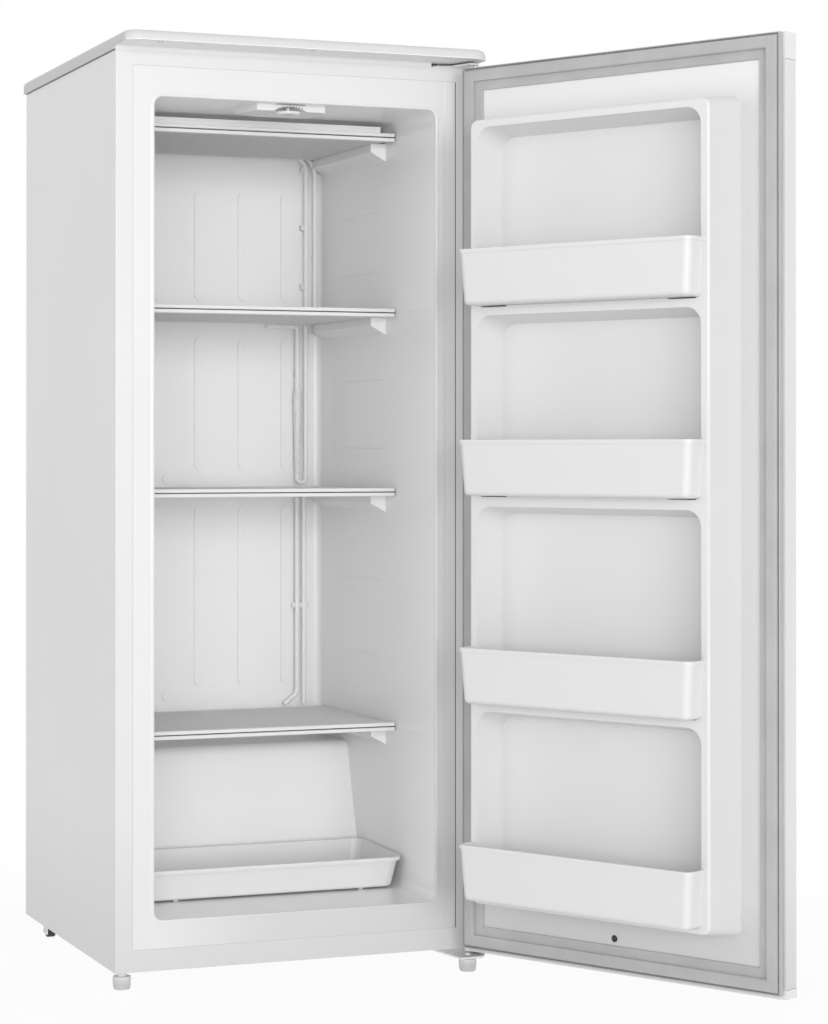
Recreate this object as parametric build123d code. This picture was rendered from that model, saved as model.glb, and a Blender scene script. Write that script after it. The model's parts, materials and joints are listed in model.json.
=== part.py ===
"""Upright freezer, door open as it stands: cabinet, cold shelves, door with bins, and what makes it work.

Millimetres. +Z is up and the front faces -Y. The origin is on the floor, midway between the cabinet's
sides, under the plane of its front face. Door pieces are drawn with the door shut, then swung open.
"""
from build123d import *
import os

# ---------------------------------------------------------------- driving dimensions
# cabinet
cabinet_width = 600.0
cabinet_depth = 568.0
cabinet_base = 26.0  # underside of the cabinet above the floor
cabinet_top = 1458.0  # top of the steel, under the cover
sheet = 1.0  # steel skin
side_flange = 27.6  # steel turned in at the front, each side
header_drop = 23.0  # steel above the liner at the front
rail_rise = 34.0  # steel below the liner at the front
groove = 0.4  # line between steel and liner
pan_sheet = 1.2  # steel pan under the foam
skin_gap = 0.2  # sheet to sheet where one drops inside another

# food space
mouth_half = 237.5
mouth_floor = 104.0
mouth_ceiling = 1388.0
mouth_corner = 14.0
rear_half = 225.0  # the walls draw in towards the back
rear_corner = 12.0  # upright corners at the back wall
ceiling_fall = 8.0  # ceiling, front to back
floor_rise = 0.03  # per mm of depth
food_depth = 510.0
liner_wall = 2.0
hump_foot = 319.0  # where the compressor hump leaves the floor
hump_shoulder = 380.0
hump_height = 327.0
hump_round = 18.0

# back wall ribs, one group for each of three bays
rib_width = 23.0
rib_pitch = 81.0
rib_count = 5
rib_proud = 3.0
rib_spans = [(1100.0, 1295.0), (800.0, 1036.0), (417.0, 736.0)]
bump_length = 140.0
bump_height = 20.0
bump_levels = [784.0, 403.0]

# cold shelves
shelf_levels = [1360.2, 1066.0, 765.4, 372.3]
tube_radius = 4.0
tube_passes = 7
pass_pitch = 46.0
first_pass = 212.0  # depth of the front pass
pass_half = 215.0
wire = 1.6
wire_gap = 0.05  # wires rest on the tube
wires_each_side = 73
wire_half_span = 220.0
wire_bar_depth = 3.0  # cross bar at each end of the wires
seat_gap = 0.3  # between a piece and what carries it
ledge_inner = 206.0  # half the gap between the left and right ledges
ledge_nose = 14.0  # height of a ledge's inner edge
ledge_height = 28.0  # at the wall
ledge_front = 208.0
ledge_clearance = 1.0  # before the tubes on the back wall
trim_front = 160.0
trim_depth = 9.5
trim_height = 13.8
trim_half = 231.0
trim_slot = 2.6
trim_slot_depth = 3.0
baffle_half = 205.0
baffle_height = 10.0
baffle_thickness = 3.0
baffle_setback = 1.5  # behind the trim's front

# tubes on the back wall
riser_y = 500.0
first_risers = (195.0, 212.0)  # left and right tube, for each bay from the top
second_risers = (178.5, 194.5)
third_risers = (178.0, 191.0)
u_bend_floor = 778.0
u_bend_radius = 7.5
foot_bend_rise = 29.0  # where the last left tube turns aside, above the fourth shelf
foot_bend_reach = 24.0
wrap_radii = (5.0, 8.0)  # at the foot and the head of the wrap
wrap_span = (792.0, 940.0)
clip_height = 9.0
clip_ear = 9.0  # reach of a clip beside its tube, from the tube's middle
clip_back = 3.6  # half the width of a clip that hides behind its tube
first_clips = [1338.0, 1234.0, 1128.0]
first_right_clip = 1180.0
second_clip = 970.0
third_tie = 558.4

# condenser tube foamed in behind the side skins
condenser_radius = 2.4
condenser_passes = 6
condenser_front = 60.0
condenser_pitch = 90.0
condenser_low = 310.0
condenser_high = 1380.0

# thermostat
dial_x = -4.0
dial_y = 37.0
dial_radius = 19.5
dial_thickness = 3.8
dial_flutes = 18
dial_ridges = 18
ridge_width = 1.2
ridge_proud = 0.8
dial_hood = 29.0  # radius of the hollow in the housing over the dial
hood_rise = 8.0
dial_stem = 3.0
housing_floor = 1377.5
housing_left = -78.0
housing_right = 55.0
housing_front = 25.0
housing_back = 112.0
body_width = 50.0
body_depth = 44.0
body_height = 26.0

# tray on the floor of the food space
tray_front = 120.0
tray_back = 306.0
tray_half_foot = 214.0
tray_half_rim = 225.0
tray_height = 50.0
tray_draft = 5.0
tray_wall = 2.2
tray_corner = 18.0
tray_rim = 4.0
tray_rim_height = 6.0
tray_foot = 3.0
tray_foot_radius = 5.0
tray_foot_x = 160.0

# top cover
overall_height = 1480.0
cover_front = 69.0  # reach in front of the cabinet
cover_side = 4.0
cover_plate = 16.0
cover_corner = 25.0
cover_round = 10.0
cover_screw_spots = [-245.0, 5.0, 235.0]

# door
door_open = 118.2  # degrees, as it stands
hinge_inset = 7.0
hinge_forward = 32.0
door_front = 47.0
door_bottom = 29.0
door_top = 1452.0
door_back = 14.0  # back of the steel and caps
door_sheet = 1.0
door_return = 13.0
door_round = 5.0
top_cap = 40.0
bottom_cap = 14.0
cap_wall = 3.0
cap_lip = 2.0  # behind the door liner's edge
lip_overlap = 2.0  # of that lip over the liner
cap_end_block = 20.0
flange_inset = 10.0  # door liner's edge inside the door's edge
dike_half_foot = 225.0
dike_half_face = 222.5
dike_foot = (113.0, 1363.0)
dike_face = (126.0, 1354.0)
dike_reach = 71.0
dike_corner = 14.0
pocket_half = 209.0
pocket_draft = 4.0
pocket_back = 10.0
pocket_corner = 26.0
pocket_tops = [1342.0, 1047.0, 748.0, 428.0]

# door bins
bin_floors = [1061.5, 765.0, 441.5, 135.5]
bin_height = 87.0
bin_half = 215.0
bin_half_floor = 209.0
bin_front = 112.0
bin_front_floor = 108.0
bin_corner = 11.0
bin_wall = 2.2
bin_rim = 1.6
bin_rim_height = 6.0
bin_tail_half = 199.0
bin_tail = 15.0
notch_depth = 1.8
notch_span = (150.0, 200.0)
notch_reach = 28.0

# gasket
gasket_inset = 3.5
gasket_width = 37.5
gasket_span = (35.5, 1451.0)
gasket_lip = 4.5
gasket_fin = 1.6  # thin outer fin
gasket_fin_height = 8.5
bulb_inset = 4.0
bulb_width = 19.0
magnet_width = 9.0
magnet_height = 3.0
gasket_gap = 0.3  # shut, between the gasket and the cabinet

# handle cup in the front of the door
grip_x = -262.0
grip_width = 46.0
grip_low = 930.0
grip_high = 1090.0
grip_depth = 22.0
grip_wall = 2.0
grip_rim = 4.0

# lock near the bottom of the door
lock_x = 4.0
lock_z = 83.6
lock_radius = 5.6
lock_sleeve_radius = 7.4
lock_collar_radius = 10.5
lock_run = 0.05

# hinges
pin_radius = 3.0
pin_run = 0.05
bush_radius = 5.0
bush_flange = 6.6
hinge_plate = 3.0
pin_reach = 14.0

# feet and rollers
foot_radius = 14.0
foot_height = 20.0
foot_stud = 4.0
foot_collar = 7.0
left_foot = (-286.0, 12.0)
right_foot = (271.0, -52.0)
roller_radius = 11.5
roller_width = 14.0
roller_x = 279.0
roller_y = 479.0
roller_side_gap = 0.5
axle_radius = 2.5
bracket_sheet = 2.0

# compressor bay at the back
bay_foot = 372.0
bay_shoulder = 432.0
bay_roof = 283.0
deck = 2.0
compressor_x = -110.0
compressor_y = 480.0
compressor_radius = 68.0
compressor_shell_wall = 3.0
compressor_foot_reach = 78.0
grommet_radius = 8.0
grommet_height = 11.0
line_radius = 3.0
drier_radius = 9.5
drier_length = 95.0
gland_radius = 8.0

# ---------------------------------------------------------------- places worked out from them
half_width = cabinet_width / 2
inner_half = half_width - sheet
liner_half = half_width - side_flange
liner_low = cabinet_base + rail_rise
liner_high = cabinet_top - header_drop
pan_top = cabinet_base + pan_sheet
panel_front = cabinet_depth - sheet
rear_floor = mouth_floor + floor_rise * food_depth
rear_ceiling = mouth_ceiling - ceiling_fall
last_pass = first_pass + pass_pitch * (tube_passes - 1)
shelf_half_thickness = tube_radius + wire_gap + wire
hinge_x = half_width - hinge_inset
hinge_y = -hinge_forward
liner_plate_front = -door_back + liner_wall
cover_skirt = overall_height - cover_plate


# ---------------------------------------------------------------- helpers
def block(x0, x1, y0, y1, z0, z1):
    """A box between two corners."""
    return Pos((x0 + x1) / 2, (y0 + y1) / 2, (z0 + z1) / 2) * Box(x1 - x0, y1 - y0, z1 - z0)


def rod(start, direction, radius, length):
    """A round bar from a point, along a direction."""
    up = Cylinder(radius, length, align=(Align.CENTER, Align.CENTER, Align.MIN))
    return Plane(origin=start, z_dir=direction) * up


def wall_face(y, x0, x1, z0, z1, corner):
    """An upright rounded rectangle that faces the front, at one depth."""
    plane = Plane(origin=(0, y, 0), x_dir=(1, 0, 0), z_dir=(0, -1, 0))
    return plane * (Pos((x0 + x1) / 2, (z0 + z1) / 2) * RectangleRounded(x1 - x0, z1 - z0, corner))


def drafted(y0, rect0, corner0, y1, rect1, corner1):
    """A block between two upright rounded rectangles at two depths."""
    return loft([wall_face(y0, *rect0, corner0), wall_face(y1, *rect1, corner1)], ruled=True)


def side_prism(points, x0, x1):
    """A (y, z) outline drawn across the part from x0 to x1."""
    outline = make_face(Polyline(*points, close=True))
    return extrude(Plane.YZ.offset(x0) * outline, amount=x1 - x0)


def plan_prism(points, z0, z1):
    """An (x, y) outline drawn up from z0 to z1."""
    outline = make_face(Polyline(*points, close=True))
    return extrude(Plane.XY.offset(z0) * outline, amount=z1 - z0)


def bent_tube(points, bend, radius):
    """A tube through points, its corners rounded to one bend radius."""
    path = FilletPolyline(*points, radius=bend)
    return sweep((path ^ 0) * Circle(radius), path=path)


def frame_ring(y0, y1, half, low, high, width):
    """A rectangular ring that lies against a wall, from y0 to y1 deep."""
    outer = block(-half, half, y0, y1, low, high)
    return outer - block(-half + width, half - width, y0 - 1, y1 + 1, low + width, high - width)


def screw(spot, direction, head_radius, head_height, shank_radius, shank_length):
    """A pan head on a shank: spot is where the head meets what it holds, direction points out."""
    into = tuple(-value for value in direction)
    return rod(spot, direction, head_radius, head_height) + rod(spot, into, shank_radius, shank_length)


def ledge_top(level):
    return level - shelf_half_thickness - seat_gap


def floor_at(y):
    return mouth_floor + floor_rise * y


# ---------------------------------------------------------------- food space
def food_loft(grow):
    """The food space before its hump, grown by a wall thickness."""
    front = (-mouth_half - grow, mouth_half + grow, mouth_floor - grow, mouth_ceiling + grow)
    rear = (-rear_half - grow, rear_half + grow, rear_floor - grow, rear_ceiling + grow)
    corner = mouth_corner + grow
    return drafted(0, front, corner, food_depth + grow, rear, corner)


def hump(shrink):
    """The slanted step over the compressor, drawn in by a wall thickness."""
    lean = (hump_shoulder - hump_foot) / (hump_height - mouth_floor)
    foot = hump_foot + shrink
    shoulder = hump_shoulder + shrink
    top = hump_height - shrink
    outline = [
        (foot - lean * mouth_floor, 0),
        (shoulder - lean * shrink, top),
        (food_depth + 40, top),
        (food_depth + 40, 0),
    ]
    prism = side_prism(outline, -mouth_half - 30, mouth_half + 30)
    crest = prism.edges().filter_by(Axis.X).group_by(Axis.Z)[-1].sort_by(Axis.Y)[0]
    return fillet(crest, hump_round - shrink)


def wall_ledge(level, side):
    """A shelf ledge on one side wall, with its underside slanted down to the wall."""
    top = ledge_top(level)
    outer = mouth_half + 20
    slope = (ledge_height - ledge_nose) / (rear_half + 6 - ledge_inner)
    low = top - ledge_nose - slope * (outer - ledge_inner)
    points = [
        (side * outer, top),
        (side * ledge_inner, top),
        (side * ledge_inner, top - ledge_nose),
        (side * outer, low),
    ]
    outline = make_face(Polyline(*points, close=True))
    plane = Plane(origin=(0, ledge_front, 0), x_dir=(1, 0, 0), z_dir=(0, -1, 0))
    back = riser_y - tube_radius - ledge_clearance
    return extrude(plane * outline, amount=-(back - ledge_front))


def wall_rib(x, low, high):
    """A shallow rib with round ends on the back wall."""
    plane = Plane(origin=(0, food_depth - rib_proud, 0), x_dir=(1, 0, 0), z_dir=(0, -1, 0))
    slot = Rot(0, 0, 90) * SlotOverall(high - low, rib_width)
    return extrude(plane * (Pos(x, (low + high) / 2) * slot), amount=-(rib_proud + 10))


def wall_bump(level):
    plane = Plane(origin=(0, food_depth - rib_proud, 0), x_dir=(1, 0, 0), z_dir=(0, -1, 0))
    slot = SlotOverall(bump_length, bump_height)
    return extrude(plane * (Pos(0, level) * slot), amount=-(rib_proud + 10))


def food_space():
    """The air inside the liner: what the liner's inner faces go round."""
    space = food_loft(0)
    space -= hump(0)
    rear_edges = space.faces().sort_by(Axis.Y)[-1].edges().filter_by(Axis.Z)
    space = fillet(rear_edges, rear_corner)
    for level in shelf_levels:
        for side in (-1, 1):
            space -= wall_ledge(level, side)
    first_rib = -rib_pitch * (rib_count - 1) / 2
    for low, high in rib_spans:
        for i in range(rib_count):
            space -= wall_rib(first_rib + rib_pitch * i, low, high)
    for level in bump_levels:
        space -= wall_bump(level)
    return space


def liner_envelope():
    """The outside of the liner, foam side, with its front flange."""
    outside = food_loft(liner_wall)
    outside -= hump(liner_wall)
    edge = liner_half - groove
    flange = block(-edge, edge, 0, liner_wall, liner_low + groove, liner_high - groove)
    return outside + flange


def thermostat_recess(grow):
    """The hole over the dial where the thermostat sits."""
    half = body_width / 2 + grow
    front = dial_y - body_depth / 2 - grow
    back = dial_y + body_depth / 2 + grow
    ceiling = mouth_ceiling + body_height + grow
    return block(dial_x - half, dial_x + half, front, back, mouth_ceiling - 4, ceiling)


def inner_liner(envelope, space):
    return envelope - space - thermostat_recess(seat_gap)


# ---------------------------------------------------------------- cabinet steel and foam
def cabinet_shell():
    """Steel wrap: sides and top, with a flange turned in all round the front."""
    outer = block(-half_width, half_width, 0, cabinet_depth, cabinet_base, cabinet_top)
    inside = block(-inner_half, inner_half, sheet, cabinet_depth + 1, cabinet_base - 1, cabinet_top - sheet)
    mouth = block(-liner_half, liner_half, -1, sheet + 1, liner_low, liner_high)
    upright = outer.edges().filter_by(Axis.Z).group_by(Axis.Y)[0]
    return fillet(upright, 2.0) - inside - mouth - hinge_screw_holes()


def hinge_screw_holes():
    """Clearance for the top hinge's screws."""
    holes = [rod((x, y, cabinet_top + 1), (0, 0, -1), 2.6, 16) for x, y in top_hinge_screw_spots()]
    return Compound(holes)


def rear_panel():
    width = inner_half - skin_gap
    top = cabinet_top - sheet - skin_gap
    return block(-width, width, panel_front, cabinet_depth, bay_roof, top)


def base_pan():
    """Flat steel pan under the foam, with the left foot's hole and the lower hinge's screw holes."""
    width = inner_half - skin_gap
    pan = block(-width, width, sheet, bay_foot - skin_gap, cabinet_base, pan_top)
    pan -= rod((*left_foot, cabinet_base - 1), (0, 0, 1), foot_stud + pin_run, 4)
    for x, y in lower_hinge_screw_spots():
        pan -= rod((x, y, cabinet_base - 1), (0, 0, 1), 2.6, 4)
    return pan


def bay_panel():
    """Bent steel sheet between the foam and the compressor bay."""
    lean = sheet * 1.03
    outline = [
        (bay_foot, cabinet_base + deck),
        (bay_shoulder, bay_roof),
        (panel_front, bay_roof),
        (panel_front, bay_roof - sheet),
        (bay_shoulder + 0.8 * sheet, bay_roof - sheet),
        (bay_foot + lean, cabinet_base + deck),
    ]
    width = inner_half - skin_gap
    return side_prism(outline, -width, width)


def compressor_deck():
    """Steel floor of the bay, with a tab for the cord's gland and holes for the grommets."""
    width = inner_half - skin_gap
    floor = block(-width, width, bay_foot, panel_front, cabinet_base, cabinet_base + deck)
    tab = block(180, 220, panel_front - deck, panel_front, cabinet_base + deck, cabinet_base + deck + 40)
    floor += tab
    floor -= rod((200, panel_front - 10, cabinet_base + 24), (0, 1, 0), gland_radius, 20)
    for x, y in grommet_spots():
        floor -= rod((x, y, cabinet_base - 1), (0, 0, 1), 3.2, 6)
    return floor


def cabinet_insulation(envelope, condenser):
    """Foam between the steel and the liner."""
    foam = block(-inner_half, inner_half, sheet, panel_front, pan_top, cabinet_top - sheet)
    bay = [
        (bay_foot, cabinet_base),
        (bay_foot, cabinet_base + deck),
        (bay_shoulder, bay_roof),
        (cabinet_depth + 5, bay_roof),
        (cabinet_depth + 5, cabinet_base),
    ]
    foam -= side_prism(bay, -half_width, half_width)
    foam -= envelope
    foam -= thermostat_recess(seat_gap)
    foam -= condenser
    foam -= rod((*left_foot, cabinet_base), (0, 0, 1), foot_stud + 2, 20)
    for x, y in lower_hinge_screw_spots():
        foam -= rod((x, y, cabinet_base), (0, 0, 1), 2.6, 16)
    foam -= hinge_screw_holes()
    return cabinet_foam_blocks(foam)


def cabinet_foam_blocks(foam):
    """The foam as plain blocks, one for each wall, that meet face to face."""
    side = rear_half + liner_wall
    ceiling = rear_ceiling - mouth_corner
    back = food_depth + liner_wall
    foot = hump_foot + liner_wall
    out = half_width + 1
    deep = cabinet_depth + 1
    cuts = [
        block(-side, side, 0, deep, ceiling, cabinet_top),
        block(-side, side, back, deep, bay_roof, ceiling),
        block(-side, side, 0, foot, 0, ceiling),
        block(-side, side, foot, bay_shoulder, 0, ceiling),
        block(-side, side, bay_shoulder, back, bay_roof, ceiling),
    ]
    for x0, x1 in ((-out, -side), (side, out)):
        cuts.append(block(x0, x1, 0, deep, bay_roof, cabinet_top))
        cuts.append(block(x0, x1, 0, deep, 0, bay_roof))
    return Compound([foam & cut for cut in cuts])


def condenser_tubing():
    """One serpentine of tube behind each side skin."""
    tubes = []
    for side in (-1, 1):
        x = side * (inner_half - condenser_radius)
        points = []
        for i in range(condenser_passes):
            y = condenser_front + condenser_pitch * i
            ends = [condenser_low, condenser_high] if i % 2 == 0 else [condenser_high, condenser_low]
            points += [(x, y, z) for z in ends]
        tubes.append(bent_tube(points, 0.48 * condenser_pitch, condenser_radius))
    return Compound(tubes)


# ---------------------------------------------------------------- top cover and top hinge
def top_hinge_screw_spots():
    return [(250.0, 20.0), (250.0, 46.0), (284.0, 34.0)]


def top_cover():
    """Flat top that reaches over the door, with a skirt that sits on the cabinet."""
    half = half_width + cover_side
    back = cabinet_depth + cover_side
    plan = Pos(0, (back - cover_front) / 2) * Rectangle(2 * half, back + cover_front)
    plan = fillet(plan.vertices().group_by(Axis.Y)[0], cover_corner)
    plate = extrude(Plane.XY.offset(cover_skirt) * plan, amount=cover_plate)
    plate = fillet(plate.faces().sort_by(Axis.Z)[-1].edges(), cover_round)
    skirt = block(-half, half, 0, back, cabinet_top, cover_skirt)
    recess = block(230, half_width - 1, -1, 66, cabinet_top - 1, cover_skirt)
    cover = plate + (skirt - recess)
    for x in cover_screw_spots:
        cover -= rod((x, -cover_front + 12, cover_skirt - 1), (0, 0, 1), 1.6, 9)
    return cover


def cover_screws():
    y = -cover_front + 12
    down = (0, 0, -1)
    return Compound([screw((x, y, cover_skirt), down, 3.5, 1.4, 1.5, 7) for x in cover_screw_spots])


def top_hinge_plate():
    """Steel plate on the cabinet's top that holds the upper pin over the door."""
    low = cabinet_top
    outline = [(236, 62), (296, 62), (299, 40), (299, -34), (293, -42), (280, -42), (262, 0), (236, 8)]
    plate = plan_prism(outline, low, low + hinge_plate)
    for x, y in top_hinge_screw_spots():
        plate -= rod((x, y, low - 1), (0, 0, 1), 2.6, 6)
    return plate - rod((hinge_x, hinge_y, low - 1), (0, 0, 1), pin_radius, 6)


def top_hinge_pin():
    low = door_top - pin_reach
    return rod((hinge_x, hinge_y, low), (0, 0, 1), pin_radius, cabinet_top + hinge_plate - low)


def top_hinge_screws():
    seat = cabinet_top + hinge_plate
    return Compound([screw((x, y, seat), (0, 0, 1), 4.5, 2.8, 2.5, 14) for x, y in top_hinge_screw_spots()])


# ---------------------------------------------------------------- lower hinge and feet
def lower_hinge_screw_spots():
    return [(250.0, 32.0), (282.0, 32.0), (266.0, 12.0)]


def lower_hinge_bracket():
    """Steel plate under the cabinet's corner: it carries the door's pin and the right foot."""
    top = cabinet_base
    outline = [(232, 46), (299, 46), (299, -58), (288, -74), (250, -76), (237, 12)]
    plate = plan_prism(outline, top - hinge_plate, top)
    for x, y in lower_hinge_screw_spots():
        plate -= rod((x, y, top - 5), (0, 0, 1), 2.6, 8)
    plate -= rod((*right_foot, top - 5), (0, 0, 1), foot_stud + pin_run, 8)
    return plate - rod((hinge_x, hinge_y, top - 5), (0, 0, 1), pin_radius, 8)


def lower_hinge_pin():
    low = cabinet_base - hinge_plate
    return rod((hinge_x, hinge_y, low), (0, 0, 1), pin_radius, door_bottom + pin_reach - low)


def lower_hinge_screws():
    seat = cabinet_base - hinge_plate
    down = (0, 0, -1)
    return Compound([screw((x, y, seat), down, 4.5, 2.8, 2.5, 14) for x, y in lower_hinge_screw_spots()])


def levelling_foot(spot, seat, stud_top):
    """A ribbed pad on a threaded stud, turned from below to level the cabinet."""
    x, y = spot
    upright = (Align.CENTER, Align.CENTER, Align.MIN)
    pad = Pos(x, y, 0) * Cone(foot_radius - 1.5, foot_radius, foot_height - 4, align=upright)
    pad += rod((x, y, foot_height - 4), (0, 0, 1), foot_radius, 4)
    pad = fillet(pad.edges().filter_by(GeomType.CIRCLE).group_by(Axis.Z)[0], 1.5)
    pad += rod((x, y, foot_height), (0, 0, 1), foot_collar, seat - seat_gap - foot_height)
    return pad + rod((x, y, seat - seat_gap), (0, 0, 1), foot_stud, stud_top - seat + seat_gap)


# ---------------------------------------------------------------- rear rollers
def roller_brackets():
    """A folded steel fork under each rear corner."""
    forks = []
    gap = roller_width / 2 + roller_side_gap
    reach = roller_radius
    for side in (-1, 1):
        x = side * roller_x
        wide = gap + bracket_sheet
        fork = block(x - wide, x + wide, roller_y - reach, roller_y + reach, 6, cabinet_base)
        roof = cabinet_base - bracket_sheet
        fork -= block(x - gap, x + gap, roller_y - reach - 1, roller_y + reach + 1, 5, roof)
        fork -= rod((x - 20, roller_y, roller_radius), (1, 0, 0), axle_radius, 40)
        forks.append(fork)
    return Compound(forks)


def roller_axles():
    half = roller_width / 2 + roller_side_gap + bracket_sheet + 1.5
    ends = [(side * roller_x - half, roller_y, roller_radius) for side in (-1, 1)]
    return Compound([rod(end, (1, 0, 0), axle_radius, 2 * half) for end in ends])


def rear_roller(side):
    x = side * roller_x
    wheel = rod((x - roller_width / 2, roller_y, roller_radius), (1, 0, 0), roller_radius, roller_width)
    wheel = chamfer(wheel.edges().filter_by(GeomType.CIRCLE), 1.0)
    return wheel - rod((x - 10, roller_y, roller_radius), (1, 0, 0), axle_radius + pin_run, 20)


# ---------------------------------------------------------------- shelves and tubes
def wire_grid(low):
    """One layer of wires, front to back, joined by a cross bar at each end."""
    front = trim_front + trim_depth + seat_gap
    back = last_pass + tube_radius
    grid = []
    for y in (front, back - wire_bar_depth):
        grid.append(block(-wire_half_span, wire_half_span, y, y + wire_bar_depth, low, low + wire))
    spacing = (2 * wire_half_span - wire) / (wires_each_side - 1)
    for i in range(wires_each_side):
        x = -wire_half_span + spacing * i
        grid.append(block(x, x + wire, front, back, low, low + wire))
    return grid[0].fuse(*grid[1:])


def evaporator_shelf():
    """A cold shelf at level 0: one tube bent to and fro between an upper and a lower grid of wires."""
    points = []
    for i in range(tube_passes):
        y = first_pass + pass_pitch * i
        ends = [-pass_half, pass_half] if i % 2 == 0 else [pass_half, -pass_half]
        points += [(x, y, 0) for x in ends]
    tube = bent_tube(points, 0.48 * pass_pitch, tube_radius)
    reach = tube_radius + wire_gap
    return Compound([tube, wire_grid(reach), wire_grid(-reach - wire)])


def shelf_trim(level):
    """The bar along a shelf's front edge, with a groove in its face."""
    low = level - trim_height / 2
    bar = block(-trim_half, trim_half, trim_front, trim_front + trim_depth, low, low + trim_height)
    bar = fillet(bar.edges().filter_by(Axis.X).group_by(Axis.Y)[0], 1.5)
    half = trim_half + 1
    back = trim_front + trim_slot_depth
    return bar - block(-half, half, trim_front - 1, back, level - trim_slot / 2, level + trim_slot / 2)


def top_shelf_baffle():
    """A white strip that stands on the first shelf's trim."""
    low = shelf_levels[0] + trim_height / 2
    front = trim_front + baffle_setback
    return block(-baffle_half, baffle_half, front, front + baffle_thickness, low, low + baffle_height)


def riser_tubes():
    """Tubes that link the shelves, run down the back wall at its right."""
    y = riser_y
    one, two, three, four = shelf_levels
    above = shelf_half_thickness + 4
    left, right = first_risers
    second_left, second_right = second_risers
    third_left, third_right = third_risers
    turn = four + foot_bend_rise
    routes = [
        ([(110, y, one - 2), (left, y, one - 2), (left, y, two + above)], 22),
        ([(90, y, one + 7), (right, y, one + 7), (right, y, two + above)], 40),
        (
            [
                (120, y, two - above),
                (second_left, y, two - above),
                (second_left, y, u_bend_floor),
                (second_right, y, u_bend_floor),
                (second_right, y, two - above),
            ],
            u_bend_radius,
        ),
        (
            [
                (third_left, y, three - above),
                (third_left, y, turn),
                (third_left - foot_bend_reach, y, four + above),
            ],
            16,
        ),
    ]
    tubes = [bent_tube(points, bend, tube_radius) for points, bend in routes]
    low = four + above
    tubes.append(rod((third_right, y, low), (0, 0, 1), tube_radius, three - above - low))
    return Compound(tubes)


def tube_wrap():
    """Foil and foam wrapped round the left tube of the second bay, thicker at its head."""
    low, high = wrap_span
    foot, head = wrap_radii
    x = second_risers[0]
    upright = (Align.CENTER, Align.CENTER, Align.MIN)
    sleeve = Pos(x, riser_y, low) * Cone(foot, head, high - low, align=upright)
    return sleeve - rod((x, riser_y, low - 1), (0, 0, 1), tube_radius, high - low + 2)


def clip_places():
    """Each clip's left and right side, its height, and the tubes that it holds."""
    left, right = first_risers
    places = [(left - clip_ear, left + clip_back, z, [left]) for z in first_clips]
    second_left = second_risers[0]
    for x, z in ((right, first_right_clip), (second_left, second_clip)):
        places.append((x - clip_back, x + clip_back, z, [x]))
    tie_left, tie_right = third_risers
    places.append((tie_left - clip_ear, tie_right + clip_ear, third_tie, third_risers))
    return places


def tube_clips():
    """Plastic clips that stand off the back wall and hold the tubes."""
    clips = []
    for left, right, z, tubes in clip_places():
        front = riser_y - tube_radius * 0.4
        reach = clip_height / 2
        side = min(right, rear_half - rear_corner)
        clip = block(left, side, front, food_depth, z - reach, z + reach)
        for x in tubes:
            clip -= rod((x, riser_y, z - 20), (0, 0, 1), tube_radius, 40)
        clips.append(clip - wall_rib(rib_pitch * (rib_count // 2), z - 60, z + 60))
    return Compound(clips)


# ---------------------------------------------------------------- thermostat
def thermostat_housing(space):
    """The box on the ceiling: it hides the thermostat and carries the dial below it."""
    plan = [
        (housing_left + 18, housing_front),
        (housing_right, housing_front),
        (housing_right, housing_back - 12),
        (housing_right - 8, housing_back),
        (housing_left + 40, housing_back),
        (housing_left, housing_back - 30),
    ]
    box = plan_prism(plan, housing_floor, mouth_ceiling + 5)
    box = chamfer(box.edges().group_by(Axis.Z)[0].sort_by(Axis.Y)[-1], 3)
    box &= space
    dome = (dial_hood**2 + hood_rise**2) / (2 * hood_rise)
    box -= Pos(dial_x, dial_y, housing_floor + hood_rise - dome) * Sphere(dome)
    return box - rod((dial_x, dial_y, housing_floor - 1), (0, 0, 1), dial_stem + pin_run, 20)


def thermostat_body():
    """The switch in the recess over the housing, with a socket for the dial's stem."""
    low = mouth_ceiling + seat_gap
    half = body_width / 2
    depth = body_depth / 2
    high = low + body_height - 2 * seat_gap
    body = block(dial_x - half, dial_x + half, dial_y - depth, dial_y + depth, low, high)
    return body - rod((dial_x, dial_y, low - 1), (0, 0, 1), dial_stem + pin_run, 13)


def thermostat_knob():
    """A flat dial with a fluted rim and a ridged face, turned by a fingertip under the housing."""
    top = housing_floor - seat_gap
    low = top - dial_thickness
    dial = rod((dial_x, dial_y, low), (0, 0, 1), dial_radius, dial_thickness)
    dial = chamfer(dial.edges().filter_by(GeomType.CIRCLE).group_by(Axis.Z)[0], 1.5)
    flute = Pos(dial_radius, 0, low) * Cylinder(1.6, 3 * dial_thickness)
    for i in range(dial_flutes):
        dial -= Pos(dial_x, dial_y, 0) * Rot(0, 0, 360 / dial_flutes * i) * flute
    length = dial_radius - 10
    ridge = Pos(5 + length / 2, 0, low) * Box(length, ridge_width, 2 * ridge_proud)
    for i in range(dial_ridges):
        dial += Pos(dial_x, dial_y, 0) * Rot(0, 0, 360 / dial_ridges * (i + 0.5)) * ridge
    return dial + rod((dial_x, dial_y, top), (0, 0, 1), dial_stem, mouth_ceiling + 10 - top)


# ---------------------------------------------------------------- tray
def rounded_plan(x0, x1, y0, y1, z, corner):
    middle = Pos((x0 + x1) / 2, (y0 + y1) / 2)
    return Plane.XY.offset(z) * (middle * RectangleRounded(x1 - x0, y1 - y0, corner))


def grown_plan(half, front, back, grow, z, corner):
    """A rounded outline, alike left and right, grown by a little all round."""
    return rounded_plan(-half - grow, half + grow, front - grow, back + grow, z, corner)


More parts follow.
